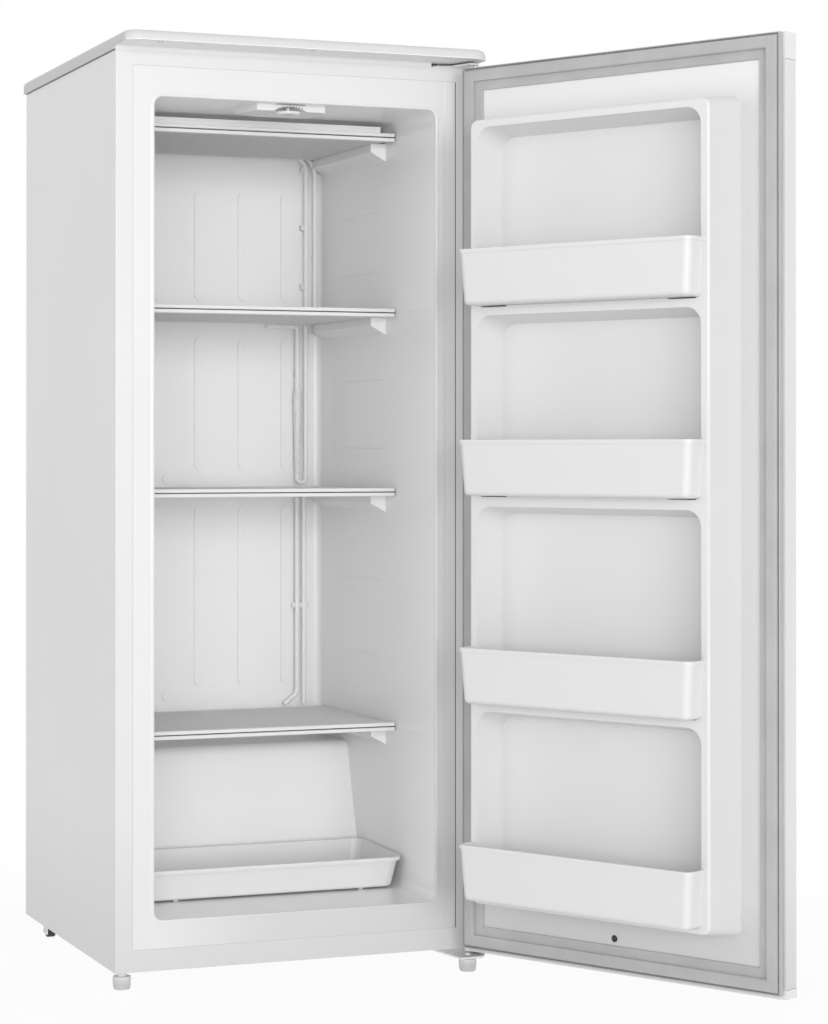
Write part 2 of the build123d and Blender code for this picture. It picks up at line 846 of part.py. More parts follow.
def drip_tray():
    """A shallow tray on short feet, tipped with the floor it stands on."""
    low = floor_at(tray_front) + tray_foot + seat_gap
    high = low + tray_height
    foot_front = tray_front + tray_draft
    foot_back = tray_back - tray_draft * 2

    def cup(grow, z0, z1):
        under = grown_plan(tray_half_foot, foot_front, foot_back, grow, z0, tray_corner + grow)
        rim = grown_plan(tray_half_rim, tray_front, tray_back, grow, z1, tray_corner + grow)
        return loft([under, rim], ruled=True)

    body = cup(0, low, high)
    body = fillet(body.edges().group_by(Axis.Z)[0], 6)
    lip_low = high - tray_rim_height
    lip = extrude(
        grown_plan(tray_half_rim, tray_front, tray_back, tray_rim, lip_low, tray_corner + tray_rim),
        amount=tray_rim_height,
    )
    hollow = cup(-tray_wall, low + tray_wall, high + 0.01)
    hollow = fillet(hollow.edges().group_by(Axis.Z)[0], 4)
    under_lip = extrude(
        grown_plan(tray_half_rim, tray_front, tray_back, tray_rim - 1.6, lip_low - 1, tray_corner + 1),
        amount=tray_rim_height - 1,
    )
    tray = body + (lip - under_lip) - hollow
    for x in (-tray_foot_x, tray_foot_x):
        for y in (foot_front + 14, foot_back - 14):
            tray += rod((x, y, low - tray_foot), (0, 0, 1), tray_foot_radius, tray_foot + 1)
    return tip_with_floor(tray)


def tip_with_floor(shape):
    """Turn a level piece to the floor's slope, about the floor under the tray's front."""
    pivot = (0, tray_front, floor_at(tray_front))
    slope = Axis(pivot, (1, 0, 0))
    return shape.rotate(slope, floor_slope_degrees())


def floor_slope_degrees():
    return Vector(0, 1, floor_rise).get_angle(Vector(0, 1, 0))


# ---------------------------------------------------------------- door
def swing_open(shape):
    """From the shut position to the one it stands in."""
    pose = Pos(hinge_x, hinge_y, 0) * Rot(0, 0, door_open) * Pos(-hinge_x, -hinge_y, 0)
    return pose * shape


def door_skin():
    """Steel wrap: front and both sides, with a short return at the back."""
    low = door_bottom + bottom_cap
    high = door_top - top_cap
    outer = block(-half_width, half_width, -door_front, -door_back, low, high)
    front_edges = outer.edges().filter_by(Axis.Z).group_by(Axis.Y)[0]
    outer = fillet(front_edges, door_round)
    inside = half_width - door_sheet
    inner = block(-inside, inside, -door_front + door_sheet, -door_back - door_sheet, low - 1, high + 1)
    inner = fillet(inner.edges().filter_by(Axis.Z).group_by(Axis.Y)[0], door_round - door_sheet)
    slot = half_width - door_return
    skin = outer - inner - block(-slot, slot, -door_back - 3, 0, low - 1, high + 1)
    skin -= grip_cut(0)
    return skin - rod((lock_x, -door_front - 5, lock_z), (0, 1, 0), lock_sleeve_radius, 20)


def cap_room(z0, z1, back):
    """A block of the foam's room inside an end cap."""
    half = half_width - cap_end_block
    return block(-half, half, -door_front - 1 + cap_wall, back, z0, z1)


def top_cap_room(over):
    """The room inside the top cap: its lip leaves it open to the liner lower down."""
    low = door_top - top_cap - over
    room = cap_room(low, door_top - cap_wall, -door_back - cap_lip)
    return room + cap_room(low, door_top - flange_inset - lip_overlap, -door_back + over)


def bottom_cap_room(over):
    """The room inside the bottom cap, open to the liner higher up."""
    high = door_bottom + bottom_cap + over
    room = cap_room(door_bottom + cap_wall, high, -door_back - cap_lip)
    return room + cap_room(door_bottom + flange_inset + lip_overlap, high, -door_back + over)


def end_cap(low, high, room):
    """A plastic cap over one end of the door, hollow for the foam but for its two end blocks."""
    cap = block(-half_width, half_width, -door_front - 1, -door_back, low, high)
    front_edges = cap.edges().filter_by(Axis.Z).group_by(Axis.Y)[0]
    return fillet(front_edges, door_round) - room


def door_top_cap():
    low = door_top - top_cap
    cap = end_cap(low, door_top, top_cap_room(1))
    return cap - rod((hinge_x, hinge_y, door_top + 1), (0, 0, -1), bush_radius, pin_reach + 3)


def door_bottom_cap():
    high = door_bottom + bottom_cap
    cap = end_cap(door_bottom, high, bottom_cap_room(1))
    return cap - rod((hinge_x, hinge_y, door_bottom - 1), (0, 0, 1), bush_radius, bottom_cap + 3)


def hinge_bushes():
    """Nylon bushes in the door's ends. The lower one has the flange that the door turns on."""
    top = rod((hinge_x, hinge_y, door_top), (0, 0, -1), bush_radius, pin_reach + 2)
    top += rod((hinge_x, hinge_y, door_top), (0, 0, 1), bush_flange, 2)
    top -= rod((hinge_x, hinge_y, door_top + 5), (0, 0, -1), pin_radius + pin_run, pin_reach + 5.3)
    seat = cabinet_base + seat_gap
    low = rod((hinge_x, hinge_y, door_bottom), (0, 0, 1), bush_radius, bottom_cap)
    low += rod((hinge_x, hinge_y, seat), (0, 0, 1), bush_flange, door_bottom - seat)
    bore = bottom_cap + door_bottom - seat + 5
    low -= rod((hinge_x, hinge_y, seat - 1), (0, 0, 1), pin_radius + pin_run, bore)
    return Compound([top, low])


def dike(shrink):
    """The raised block on the door liner that plugs the food space when the door is shut."""
    low0, high0 = dike_foot
    low1, high1 = dike_face
    foot = (-dike_half_foot + shrink, dike_half_foot - shrink, low0 + shrink, high0 - shrink)
    face = (-dike_half_face + shrink, dike_half_face - shrink, low1 + shrink, high1 - shrink)
    start = liner_plate_front - (1 if shrink else 0) - liner_wall * (1 if shrink else 0)
    corner = dike_corner - shrink
    shape = drafted(start, foot, corner, dike_reach - shrink, face, corner)
    if shrink == 0:
        shape = fillet(shape.faces().sort_by(Axis.Y)[-1].edges(), 4)
    return shape


def pockets(grow):
    """The four hollows in the dike, one for each bin."""
    hollows = []
    for top, floor in zip(pocket_tops, bin_floors):
        low = floor - seat_gap
        face = (-pocket_half - grow, pocket_half + grow, low - grow, top + grow)
        back_half = pocket_half - pocket_draft + grow
        back = (-back_half, back_half, low - grow, top - 3 * pocket_draft + grow)
        corner = pocket_corner
        deep = pocket_back - grow
        hollow = drafted(deep, back, corner, dike_reach + 1, face, corner)
        square = block(-back_half, back_half, deep, dike_reach + 1, low - grow, low + corner + 5)
        hollows.append(hollow + square)
    return hollows


def bin_notches():
    """Shallow slots in each pocket's floor, under the ends of its bin."""
    cuts = []
    for floor in bin_floors:
        top = floor - seat_gap
        for side in (-1, 1):
            x0, x1 = sorted((side * notch_span[0], side * notch_span[1]))
            cuts.append(block(x0, x1, dike_reach - notch_reach, dike_reach + 1, top - notch_depth, top + 1))
    return cuts


def dike_foam():
    """The foam side of the dike and its pockets."""
    core = dike(liner_wall)
    for hollow in pockets(liner_wall):
        core -= hollow
    return core


def door_liner():
    """White inner face of the door: a flat flange for the gasket and the pocketed dike."""
    half = half_width - flange_inset
    low = door_bottom + flange_inset
    high = door_top - flange_inset
    plate = block(-half, half, -door_back, liner_plate_front, low, high)
    liner = plate + dike(0)
    for hollow in pockets(0):
        liner -= hollow
    for cut in bin_notches():
        liner -= cut
    liner -= dike_foam()
    liner -= rod((lock_x, -door_back - 1, lock_z), (0, 1, 0), lock_sleeve_radius, 6)
    return liner


def door_insulation():
    """Foam that fills the door and its dike."""
    low = door_bottom + bottom_cap
    high = door_top - top_cap
    skin_half = half_width - door_sheet
    slab = block(-skin_half, skin_half, -door_front + door_sheet, -door_back, low, high)
    slab = fillet(slab.edges().filter_by(Axis.Z).group_by(Axis.Y)[0], door_round - door_sheet)
    returns = block(-half_width, half_width, -door_back - door_sheet, -door_back, low - 1, high + 1)
    returns -= block(-half_width + door_return, half_width - door_return, -20, 0, low - 2, high + 2)
    slab -= returns
    foam = slab + top_cap_room(0) + bottom_cap_room(0) + dike_foam()
    foam -= grip_cut(0)
    foam -= rod((lock_x, -door_front, lock_z), (0, 1, 0), lock_sleeve_radius, 60)
    for z in (door_top - pin_reach - 2, door_bottom + bottom_cap):
        foam -= rod((hinge_x, hinge_y, z - 2), (0, 0, 1), bush_radius + 1, 4)
    return door_foam_blocks(foam)


def door_foam_blocks(foam):
    """The foam as plain blocks: a slab, the dike's back, and the bars and posts round its pockets."""
    depth = pocket_back - liner_wall
    post = pocket_half - pocket_draft + liner_wall
    bar = post - pocket_corner
    out = half_width + 1
    front = dike_reach + 1
    cuts = [
        block(-out, out, -door_front - 1, -door_back, 0, door_top),
        block(-out, out, -door_back, depth, 0, door_top),
        block(-bar, bar, depth, front, 0, door_top),
    ]
    for x0, x1 in ((-out, -post), (-post, -bar), (bar, post), (post, out)):
        cuts.append(block(x0, x1, depth, front, 0, door_top))
    return Compound([piece for cut in cuts for piece in (foam & cut).solids()])


def gasket_ring(inset, width, y0, y1):
    low, high = gasket_span
    half = half_width - gasket_inset - inset
    return frame_ring(y0, y1, half, low + inset, high - inset, width)


def door_gasket():
    """Soft seal: a flat lip, a thin outer fin, and a hollow bulb that holds the magnet."""
    base = liner_plate_front
    face = -gasket_gap
    lip = gasket_ring(0, gasket_width, base, base + gasket_lip)
    bulb = gasket_ring(bulb_inset, bulb_width, base + gasket_lip, face)
    fin = gasket_ring(0, gasket_fin, base + gasket_lip, base + gasket_fin_height)
    hollow_inset = bulb_inset + (bulb_width - magnet_width) / 2
    magnet_top = face - 1
    hollow = gasket_ring(hollow_inset, magnet_width, magnet_top - magnet_height, magnet_top)
    return lip + bulb + fin - hollow


def gasket_magnets():
    hollow_inset = bulb_inset + (bulb_width - magnet_width) / 2
    magnet_top = -gasket_gap - 1
    return gasket_ring(hollow_inset, magnet_width, magnet_top - magnet_height, magnet_top)


def grip_cut(grow):
    """The space of the handle cup in the door's front."""
    half = grip_width / 2 + grow
    back = -door_front + grip_depth + grow
    return block(grip_x - half, grip_x + half, -door_front - 2, back, grip_low - grow, grip_high + grow)


def door_handle_cup():
    """A plastic cup let into the door's front: fingers hook behind its free edge."""
    cup = grip_cut(0) & block(-half_width, half_width, -door_front, 0, 0, door_top)
    hollow = block(
        grip_x - grip_width / 2 + grip_wall,
        grip_x + grip_width / 2 - grip_wall,
        -door_front - 2,
        -door_front + grip_depth - grip_wall,
        grip_low + grip_wall,
        grip_high - grip_wall,
    )
    rim = block(
        grip_x - grip_width / 2 - grip_rim,
        grip_x + grip_width / 2 + grip_rim,
        -door_front - 1.2,
        -door_front,
        grip_low - grip_rim,
        grip_high + grip_rim,
    )
    return cup + rim - hollow


def lock_sleeve():
    """Bright sleeve through the door, with a collar in front."""
    through = door_front + liner_plate_front + 1
    sleeve = rod((lock_x, -door_front, lock_z), (0, 1, 0), lock_sleeve_radius, through)
    sleeve += rod((lock_x, -door_front, lock_z), (0, -1, 0), lock_collar_radius, 1.5)
    return sleeve - rod((lock_x, -door_front - 3, lock_z), (0, 1, 0), lock_radius + lock_run, 60)


def lock_barrel():
    """The turning plug, with its key slot in front and a three-lobed end inside."""
    length = door_front + liner_plate_front + 1
    plug = rod((lock_x, -door_front - 1, lock_z), (0, 1, 0), lock_radius, length)
    plug -= block(lock_x - 0.6, lock_x + 0.6, -door_front - 2, -door_front + 6, lock_z - 3.6, lock_z + 3.6)
    lobe = Pos(2.7, 0, 0) * Cylinder(1.5, 8)
    end = Plane(origin=(lock_x, -door_front - 1 + length, lock_z), z_dir=(0, 1, 0))
    for i in range(3):
        plug -= end * (Rot(0, 0, 120 * i + 30) * lobe)
    return plug


# ---------------------------------------------------------------- bins
def bin_plan(half, front, grow, z, corner):
    """A bin's outline from above, from inside the dike to its front."""
    return rounded_plan(-half - grow, half + grow, dike_reach - 30, front + grow, z, corner)


def door_bin(floor):
    """An open-backed bin: its tub stands proud of the dike and its floor runs back into the pocket."""
    high = floor + bin_height

    def tub(grow, z0, z1):
        under = bin_plan(bin_half_floor, bin_front_floor, grow, z0, bin_corner)
        rim = bin_plan(bin_half, bin_front, grow, z1, bin_corner)
        return loft([under, rim], ruled=True)

    ahead = block(-300, 300, dike_reach + seat_gap, 200, floor - 10, high + 10)
    shell = tub(0, floor, high) & ahead
    front_floor = shell.edges().filter_by(Axis.X).group_by(Axis.Z)[0].sort_by(Axis.Y)[-1]
    shell = fillet(front_floor, 8)
    rim_plan = bin_plan(bin_half, bin_front, bin_rim, high - bin_rim_height, bin_corner + bin_rim)
    band = extrude(rim_plan, amount=bin_rim_height)
    shell += band & ahead
    tail = block(-bin_tail_half, bin_tail_half, bin_tail, dike_reach + 3, floor, high - 30)
    shell += tail
    room = block(-300, 300, dike_reach + seat_gap - 0.01, 200, floor, high + 10)
    hollow = tub(-bin_wall, floor + bin_wall, high + 0.01) & room
    inner_edge = hollow.edges().filter_by(Axis.X).group_by(Axis.Z)[0].sort_by(Axis.Y)[-1]
    hollow = fillet(inner_edge, 6)
    inside = bin_tail_half - bin_wall
    back_hollow = block(-inside, inside, bin_tail + bin_wall, dike_reach + 4, floor + bin_wall, high)
    return shell - hollow - back_hollow


# ---------------------------------------------------------------- compressor bay
def grommet_spots():
    reach = compressor_foot_reach
    return [(compressor_x + sx * reach, compressor_y + sy * 46) for sx in (-1, 1) for sy in (-1, 1)]


def compressor_shell():
    """Hermetic can: two pressed halves joined by a flange at the waist."""
    floor = cabinet_base + deck + grommet_height + 6
    outside = _can(compressor_radius, floor, 0)
    inside = _can(compressor_radius, floor, compressor_shell_wall)
    band = rod((compressor_x, compressor_y, floor + 76), (0, 0, 1), compressor_radius + 2.5, 6)
    return outside + band - inside


def _can(radius, floor, wall):
    """A round can with domed ends, drawn in by a wall."""
    height = 150 - 2 * wall
    can = rod((compressor_x, compressor_y, floor + wall), (0, 0, 1), radius - wall, height)
    ends = can.edges().filter_by(GeomType.CIRCLE)
    top = fillet(ends.group_by(Axis.Z)[-1], 38 - wall)
    return fillet(top.edges().filter_by(GeomType.CIRCLE).group_by(Axis.Z)[0], 22 - wall)


def compressor_mount_plate():
    """Pressed feet under the can, one hole for each grommet."""
    low = cabinet_base + deck + grommet_height
    reach = compressor_foot_reach + 12
    left, right = compressor_x - reach, compressor_x + reach
    plate = block(left, right, compressor_y - 58, compressor_y + 58, low, low + 6)
    plate = fillet(plate.edges().filter_by(Axis.Z), 14)
    for x, y in grommet_spots():
        plate -= rod((x, y, low - 1), (0, 0, 1), 5.0, 8)
    return plate


def compressor_grommets():
    """Four rubber mounts, each with a neck through the plate."""
    low = cabinet_base + deck
    mounts = []
    for x, y in grommet_spots():
        mount = rod((x, y, low), (0, 0, 1), grommet_radius, grommet_height)
        mount += rod((x, y, low + grommet_height), (0, 0, 1), 4.9, 7)
        mounts.append(mount)
    return Compound(mounts)


def relay_cover():
    """Plastic box over the terminals on the can's right side."""
    floor = cabinet_base + deck + grommet_height + 6
    near, far = compressor_x + 45, compressor_x + 98
    box = block(near, far, compressor_y - 26, compressor_y + 26, floor + 24, floor + 72)
    box = fillet(box.edges().filter_by(Axis.X), 5)
    return box - rod((compressor_x, compressor_y, floor - 5), (0, 0, 1), compressor_radius + seat_gap, 120)


def refrigerant_lines():
    """Copper lines from the can to the drier, and up into the foam."""
    floor = cabinet_base + deck + grommet_height + 6
    top = bay_roof - sheet
    y = compressor_y + 20
    x = compressor_x - 20
    turn = top - 18
    path = [(x, y, floor + 150), (x, y, turn), (x + 70, y, turn), (x + 70, y, top)]
    suction = bent_tube(path, 12, line_radius)
    drier_top = drier_low() + drier_length
    x2, y2 = drier_spot()
    start, turn = compressor_x + 20, top - 40
    path = [(start, y, floor + 150), (start, y, turn), (x2, y, turn), (x2, y2, turn), (x2, y2, drier_top)]
    discharge = bent_tube(path, 10, line_radius)
    return Compound([suction, discharge])


def drier_spot():
    return (60.0, compressor_y + 45)


def drier_low():
    return cabinet_base + deck


def filter_drier():
    """Copper drier standing on the deck: a can with drawn-in ends."""
    x, y = drier_spot()
    can = rod((x, y, drier_low()), (0, 0, 1), drier_radius, drier_length)
    return chamfer(can.edges().filter_by(GeomType.CIRCLE), 5)


def cord_gland():
    """The bush in the deck's tab where a mains lead would pass."""
    y = panel_front - deck
    bush = rod((200, y - 4, cabinet_base + 24), (0, 1, 0), gland_radius, deck + 6)
    bush += rod((200, y - 4, cabinet_base + 24), (0, 1, 0), gland_radius + 3, 4)
    return bush - rod((200, y - 10, cabinet_base + 24), (0, 1, 0), 4.5, 30)


# ---------------------------------------------------------------- all pieces, by node
def cabinet_pieces():
    space = food_space()
    envelope = liner_envelope()
    condenser = condenser_tubing()
    shelf = evaporator_shelf()
    pieces = {
        "cabinet_shell": cabinet_shell(),
        "rear_panel": rear_panel(),
        "base_pan": base_pan(),
        "bay_panel": bay_panel(),
        "compressor_deck": compressor_deck(),
        "inner_liner": inner_liner(envelope, space),
        "cabinet_insulation": cabinet_insulation(envelope, condenser),
        "condenser_tubing": condenser,
        "top_cover": top_cover(),
        "cover_screws": cover_screws(),
        "top_hinge_plate": top_hinge_plate(),
        "top_hinge_pin": top_hinge_pin(),
        "top_hinge_screws": top_hinge_screws(),
        "lower_hinge_bracket": lower_hinge_bracket(),
        "lower_hinge_pin": lower_hinge_pin(),
        "lower_hinge_screws": lower_hinge_screws(),
        "front_left_foot": levelling_foot(left_foot, cabinet_base, cabinet_base + 16),
        "front_right_foot": levelling_foot(right_foot, cabinet_base - hinge_plate, door_bottom - 1.2),
        "roller_brackets": roller_brackets(),
        "roller_axles": roller_axles(),
        "rear_left_roller": rear_roller(-1),
        "rear_right_roller": rear_roller(1),
        "shelf_trims": Compound([shelf_trim(level) for level in shelf_levels]),
        "top_shelf_baffle": top_shelf_baffle(),
        "riser_tubes": riser_tubes(),
        "tube_wrap": tube_wrap(),
        "tube_clips": tube_clips(),
        "thermostat_housing": thermostat_housing(food_loft(0)),
        "thermostat_body": thermostat_body(),
        "thermostat_knob": thermostat_knob(),
        "drip_tray": drip_tray(),
        "compressor_shell": compressor_shell(),
        "compressor_mount_plate": compressor_mount_plate(),
        "compressor_grommets": compressor_grommets(),
        "relay_cover": relay_cover(),
        "refrigerant_lines": refrigerant_lines(),
        "filter_drier": filter_drier(),
        "cord_gland": cord_gland(),
    }
    for number, level in enumerate(shelf_levels, start=1):
        pieces[f"evaporator_shelf_{number}"] = Pos(0, 0, level) * shelf
    return pieces


def door_pieces():
    pieces = {
        "door_skin": door_skin(),
        "door_top_cap": door_top_cap(),
        "door_bottom_cap": door_bottom_cap(),
        "door_liner": door_liner(),
        "door_insulation": door_insulation(),
        "door_gasket": door_gasket(),
        "gasket_magnets": gasket_magnets(),
        "door_handle_cup": door_handle_cup(),
        "hinge_bushes": hinge_bushes(),
        "lock_sleeve": lock_sleeve(),
        "lock_barrel": lock_barrel(),
    }
    for number, floor in enumerate(bin_floors, start=1):
        pieces[f"door_bin_{number}"] = door_bin(floor)
    return {name: swing_open(shape) for name, shape in pieces.items()}


os.makedirs("parts", exist_ok=True)
for node, piece in {**cabinet_pieces(), **door_pieces()}.items():
    export_step(piece, f"parts/{node}.step")
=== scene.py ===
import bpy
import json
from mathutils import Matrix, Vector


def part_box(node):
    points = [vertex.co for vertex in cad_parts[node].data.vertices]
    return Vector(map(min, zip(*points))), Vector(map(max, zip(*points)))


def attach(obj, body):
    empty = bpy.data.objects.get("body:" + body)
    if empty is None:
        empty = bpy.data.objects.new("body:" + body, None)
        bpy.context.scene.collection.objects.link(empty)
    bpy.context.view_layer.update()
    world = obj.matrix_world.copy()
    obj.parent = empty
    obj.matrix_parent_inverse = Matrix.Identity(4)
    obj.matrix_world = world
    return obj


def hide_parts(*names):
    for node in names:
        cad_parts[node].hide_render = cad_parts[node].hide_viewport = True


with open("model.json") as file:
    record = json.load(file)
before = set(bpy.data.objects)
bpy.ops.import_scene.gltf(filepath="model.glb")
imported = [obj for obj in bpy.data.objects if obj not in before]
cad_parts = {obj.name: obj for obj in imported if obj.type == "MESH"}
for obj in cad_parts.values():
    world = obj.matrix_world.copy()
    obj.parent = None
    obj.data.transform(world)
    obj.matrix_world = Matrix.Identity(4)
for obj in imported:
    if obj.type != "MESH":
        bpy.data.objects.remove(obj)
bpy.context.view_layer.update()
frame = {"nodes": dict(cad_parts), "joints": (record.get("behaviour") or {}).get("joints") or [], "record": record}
nodes = frame["nodes"]
print("solid pieces:", len(nodes))

# %% [markdown]
# ## The camera
# A camera in Blender is a place, a direction and a lens. These come from the photograph: the long
# straight edges of a cabinet meet at vanishing points, and those give all three. The photographer stood
# to the left and framed the freezer off the lens's axis, so a small shift moves the picture without
# bending its upright lines.
# %% Place the camera
import math

import bmesh
import bpy
from mathutils import Matrix, Vector

PHOTO_HEIGHT = 1024  # pixels, the longer side of the picture
SENSOR = 36.0  # millimetres, the camera's own default
FOCAL_PIXELS = 2639.26
AXIS_AT = (374.04, 432.42)  # where the lens's axis meets the picture
PICTURE_CENTRE = (414.0, 512.0)
HEADING = math.radians(21.467)  # to the right of straight ahead
TILT = math.radians(0.343)  # upwards

camera = bpy.data.objects.new("camera", bpy.data.cameras.new("camera"))
bpy.context.scene.collection.objects.link(camera)
camera.location = (-1.42255, -3.94780, 0.83887)
camera.rotation_euler = (math.pi / 2 + TILT, 0.0, -HEADING)
camera.data.lens = FOCAL_PIXELS * SENSOR / PHOTO_HEIGHT
camera.data.shift_x = (PICTURE_CENTRE[0] - AXIS_AT[0]) / PHOTO_HEIGHT
camera.data.shift_y = (AXIS_AT[1] - PICTURE_CENTRE[1]) / PHOTO_HEIGHT
camera.data.clip_end = 60.0
bpy.context.scene.camera = camera
bpy.context.scene.view_settings.view_transform = "Standard"
print("lens in mm:", round(camera.data.lens, 2))

# %% [markdown]
# ## Swing with the door
# The door is drawn open, and its pieces are easiest to think of when it is shut and square to the axes.
# Its hinge is in the record: where the pin stands, and how far it turns to shut. One matrix made from
# these takes a shape from the shut door to where it hangs.
# %% The door's own frame
swing = next(joint for joint in frame["joints"] if joint["name"] == "door_swing")
pin = Vector(swing["pos_m"])
open_angle = -math.radians(swing["range_deg"][0])
door_pose = Matrix.Translation(pin) @ Matrix.Rotation(open_angle, 4, "Z") @ Matrix.Translation(-pin)
print("the door stands open by", round(math.degrees(open_angle), 1), "degrees")

# %% [markdown]
# ## Shader maths as Python
# A finish is a small sum: a base colour, a little more grey here, a little rougher there. In the node
# editor each sign of that sum is a box and three wires. This class wraps one socket, so that Python's
# own signs build the boxes. Numbers alone never reach it: they are worked out before.
# %% A socket with operators
class Signal:
    """One socket of a material's nodes. Arithmetic on it adds Math nodes."""

    def __init__(self, tree, socket=None):
        self.tree = tree
        self.socket = socket

    def node(self, kind, settings=None, inputs=None, output=0):
        """Add any node. Its settings come first, then values or links for its sockets."""
        made = self.tree.nodes.new(kind)
        for name, value in (settings or {}).items():
            if name == "stops":
                set_stops(made.color_ramp, value)
            else:
                setattr(made, name, value)
        for name, value in (inputs or {}).items():
            if isinstance(value, Signal):
                self.tree.links.new(value.socket, made.inputs[name])
            else:
                made.inputs[name].default_value = value
        return Signal(self.tree, made.outputs[output])

    def math(self, operation, first, second):
        return self.node("ShaderNodeMath", {"operation": operation}, {0: first, 1: second})

    def __add__(self, other):
        return self.math("ADD", self, other)

    def __radd__(self, other):
        return self.math("ADD", other, self)

    def __sub__(self, other):
        return self.math("SUBTRACT", self, other)

    def __rsub__(self, other):
        return self.math("SUBTRACT", other, self)

    def __mul__(self, other):
        return self.math("MULTIPLY", self, other)

    def __rmul__(self, other):
        return self.math("MULTIPLY", other, self)


def set_stops(ramp, stops):
    """Give a colour ramp its stops: pairs of a position and a grey or a colour."""
    while len(ramp.elements) < len(stops):
        ramp.elements.new(0.5)
    for element, (position, value) in zip(ramp.elements, stops):
        element.position = position
        colour = value if isinstance(value, tuple) else (value,) * 3
        element.color = (*colour, 1.0)


print("a signal can be added, subtracted and multiplied")

# %% [markdown]
# ## Helpers that every finish shares
# Each finish starts from a place on the object. The pieces of this model keep their real coordinates,
# in metres, so the object's own coordinates are a ruler: a noise of scale 1000 has grains of about a
# millimetre. That is why no piece needs unwrapping.
# %% Start and end a finish
finishes = {}


def begin(slot):
    """Open a new finish: its start signal, and the place on the object in metres."""
    material = bpy.data.materials.new(slot)
    material.use_nodes = True
    material.node_tree.nodes.clear()
    start = Signal(material.node_tree)
    place = start.node("ShaderNodeTexCoord", output="Object")
    finishes[slot] = material
    return start, place


def close(start, inputs):
    """End a finish with its surface shader."""
    surface = start.node("ShaderNodeBsdfPrincipled", {}, inputs)
    out = start.tree.nodes.new("ShaderNodeOutputMaterial")
    start.tree.links.new(surface.socket, out.inputs["Surface"])


def noise(place, scale, detail=2.0, rough=0.5):
    """A soft grain between 0 and 1, scale in grains to the metre."""
    inputs = {"Vector": place, "Scale": scale, "Detail": detail, "Roughness": rough}
    return place.node("ShaderNodeTexNoise", {}, inputs)


def stretched(place, x, y, z):
    """The place, drawn out along an axis by a number under 1."""
    return place.node("ShaderNodeVectorMath", {"operation": "MULTIPLY"}, {0: place, 1: (x, y, z)})


def along(place, axis):
    """One of the place's numbers: 0 across, 1 front to back, 2 height."""
    return place.node("ShaderNodeSeparateXYZ", {}, {0: place}, output=axis)


def ramp(value, *stops):
    """Turn a value into greys or colours."""
    return value.node("ShaderNodeValToRGB", {"stops": stops}, {"Fac": value})


def blend(mask, first, second):
    """Mix two colours by a mask."""
    return mask.node("ShaderNodeMix", {"data_type": "RGBA"}, {0: mask, 6: first, 7: second}, output=2)


def bump(height, depth, strength=1.0):
    """Raise the surface by a height, depth in metres."""
    return height.node("ShaderNodeBump", {}, {"Height": height, "Distance": depth, "Strength": strength})


def grey(value, warmth=0.0):
    """A neutral colour, a touch warm or cool."""
    return (value + warmth, value, value - warmth, 1.0)


print("grey(0.8):", grey(0.8))

# %% [markdown]
# ## White enamel on steel
# The cabinet and the door are wrapped in steel that was painted before it was folded. Such paint is
# nearly white and half glossy, and close up it has the faint waves of an orange's peel. A plain white
# would look like paper, so three things vary: the colour by a percent or two, the gloss where hands have
# wiped it, and the surface by a few hundredths of a millimetre. The rim round the food space and the
# door carry painted shade: their paint is a shade darker than the sides. Near the floor all paint is a
# little greyer, as painted shade where the light falls off.
# %% White enamel
RIM_DEPTH = 0.004  # the folded rim, from the cabinet's front face
FLOOR_SHADE_HEIGHT = 0.30  # above this the paint has no painted shade

start, place = begin("white_enamel")
cloud = ramp(noise(place, 2.2, 3.0), (0.3, 0.0), (0.7, 1.0))
wiped = noise(stretched(place, 1.0, 1.0, 0.25), 9.0, 4.0, 0.6)
peel = noise(place, 420.0, 2.0)
behind_rim = ramp(along(place, 1) * (1 / RIM_DEPTH), (0.2, 0.0), (0.9, 1.0))
# painted shade: the front rim is painted a shade darker than the sides
shaded_rim_paint = blend(cloud, grey(0.75, -0.002), grey(0.775))
side_paint = blend(cloud, grey(0.785, -0.002), grey(0.81))
# painted shade: the paint greys towards the floor, where the light falls off
floor_shade = ramp(along(place, 2) + 0.05 * wiped, (0.05, 1.0), (FLOOR_SHADE_HEIGHT, 0.0))
close(start, {
    "Base Color": blend(floor_shade * 0.55, blend(behind_rim, shaded_rim_paint, side_paint), grey(0.60, 0.004)),
    "Roughness": 0.30 + 0.12 * wiped,
    "Coat Weight": 0.15,
    "Coat Roughness": 0.12,
    "Normal": bump(peel, 0.00012, 0.35),
})
print("white enamel has", len(start.tree.nodes), "nodes")

# %% [markdown]
# ## White liner
# The inside of the cabinet and of the door is white plastic sheet, drawn hot over a mould. It shines a
# little more than the paint, and long soft waves are left where the sheet stretched. The door's sheet and
# the cabinet's flat front rim are painted a shade greyer than the food space, whose walls are painted
# lighter: painted light and shade. The rim has painted shade, greyest low down at the hinge side, beside
# the door. The door's flat edge, which the gasket sits on, has painted light and shade: brightest along
# the top and greyest along the bottom. That edge turns with the door, so it is found by the depth that a
# place would have if the door were shut.
# %% White liner
MOUTH_REACH = 0.25  # from the middle to the flat rim beside the food space
# the rim's painted shade fades out up to this height
LINER_SHADE_HEIGHT = 0.60

FLANGE_DEPTH = -0.012  # the door's flat edge, when it is shut
SHARE_OF = 1.5  # metres: heights on the door are given to the ramp as shares of this


def depth_when_shut(place):
    """How far behind the cabinet's front a place on the door lies when the door is shut."""
    from_pin = place.node("ShaderNodeVectorMath", {"operation": "SUBTRACT"}, {0: place, 1: tuple(pin)})
    inward = (-math.sin(open_angle), math.cos(open_angle), 0.0)
    inputs = {0: from_pin, 1: inward}
    return place.node("ShaderNodeVectorMath", {"operation": "DOT_PRODUCT"}, inputs, output="Value") + pin.y


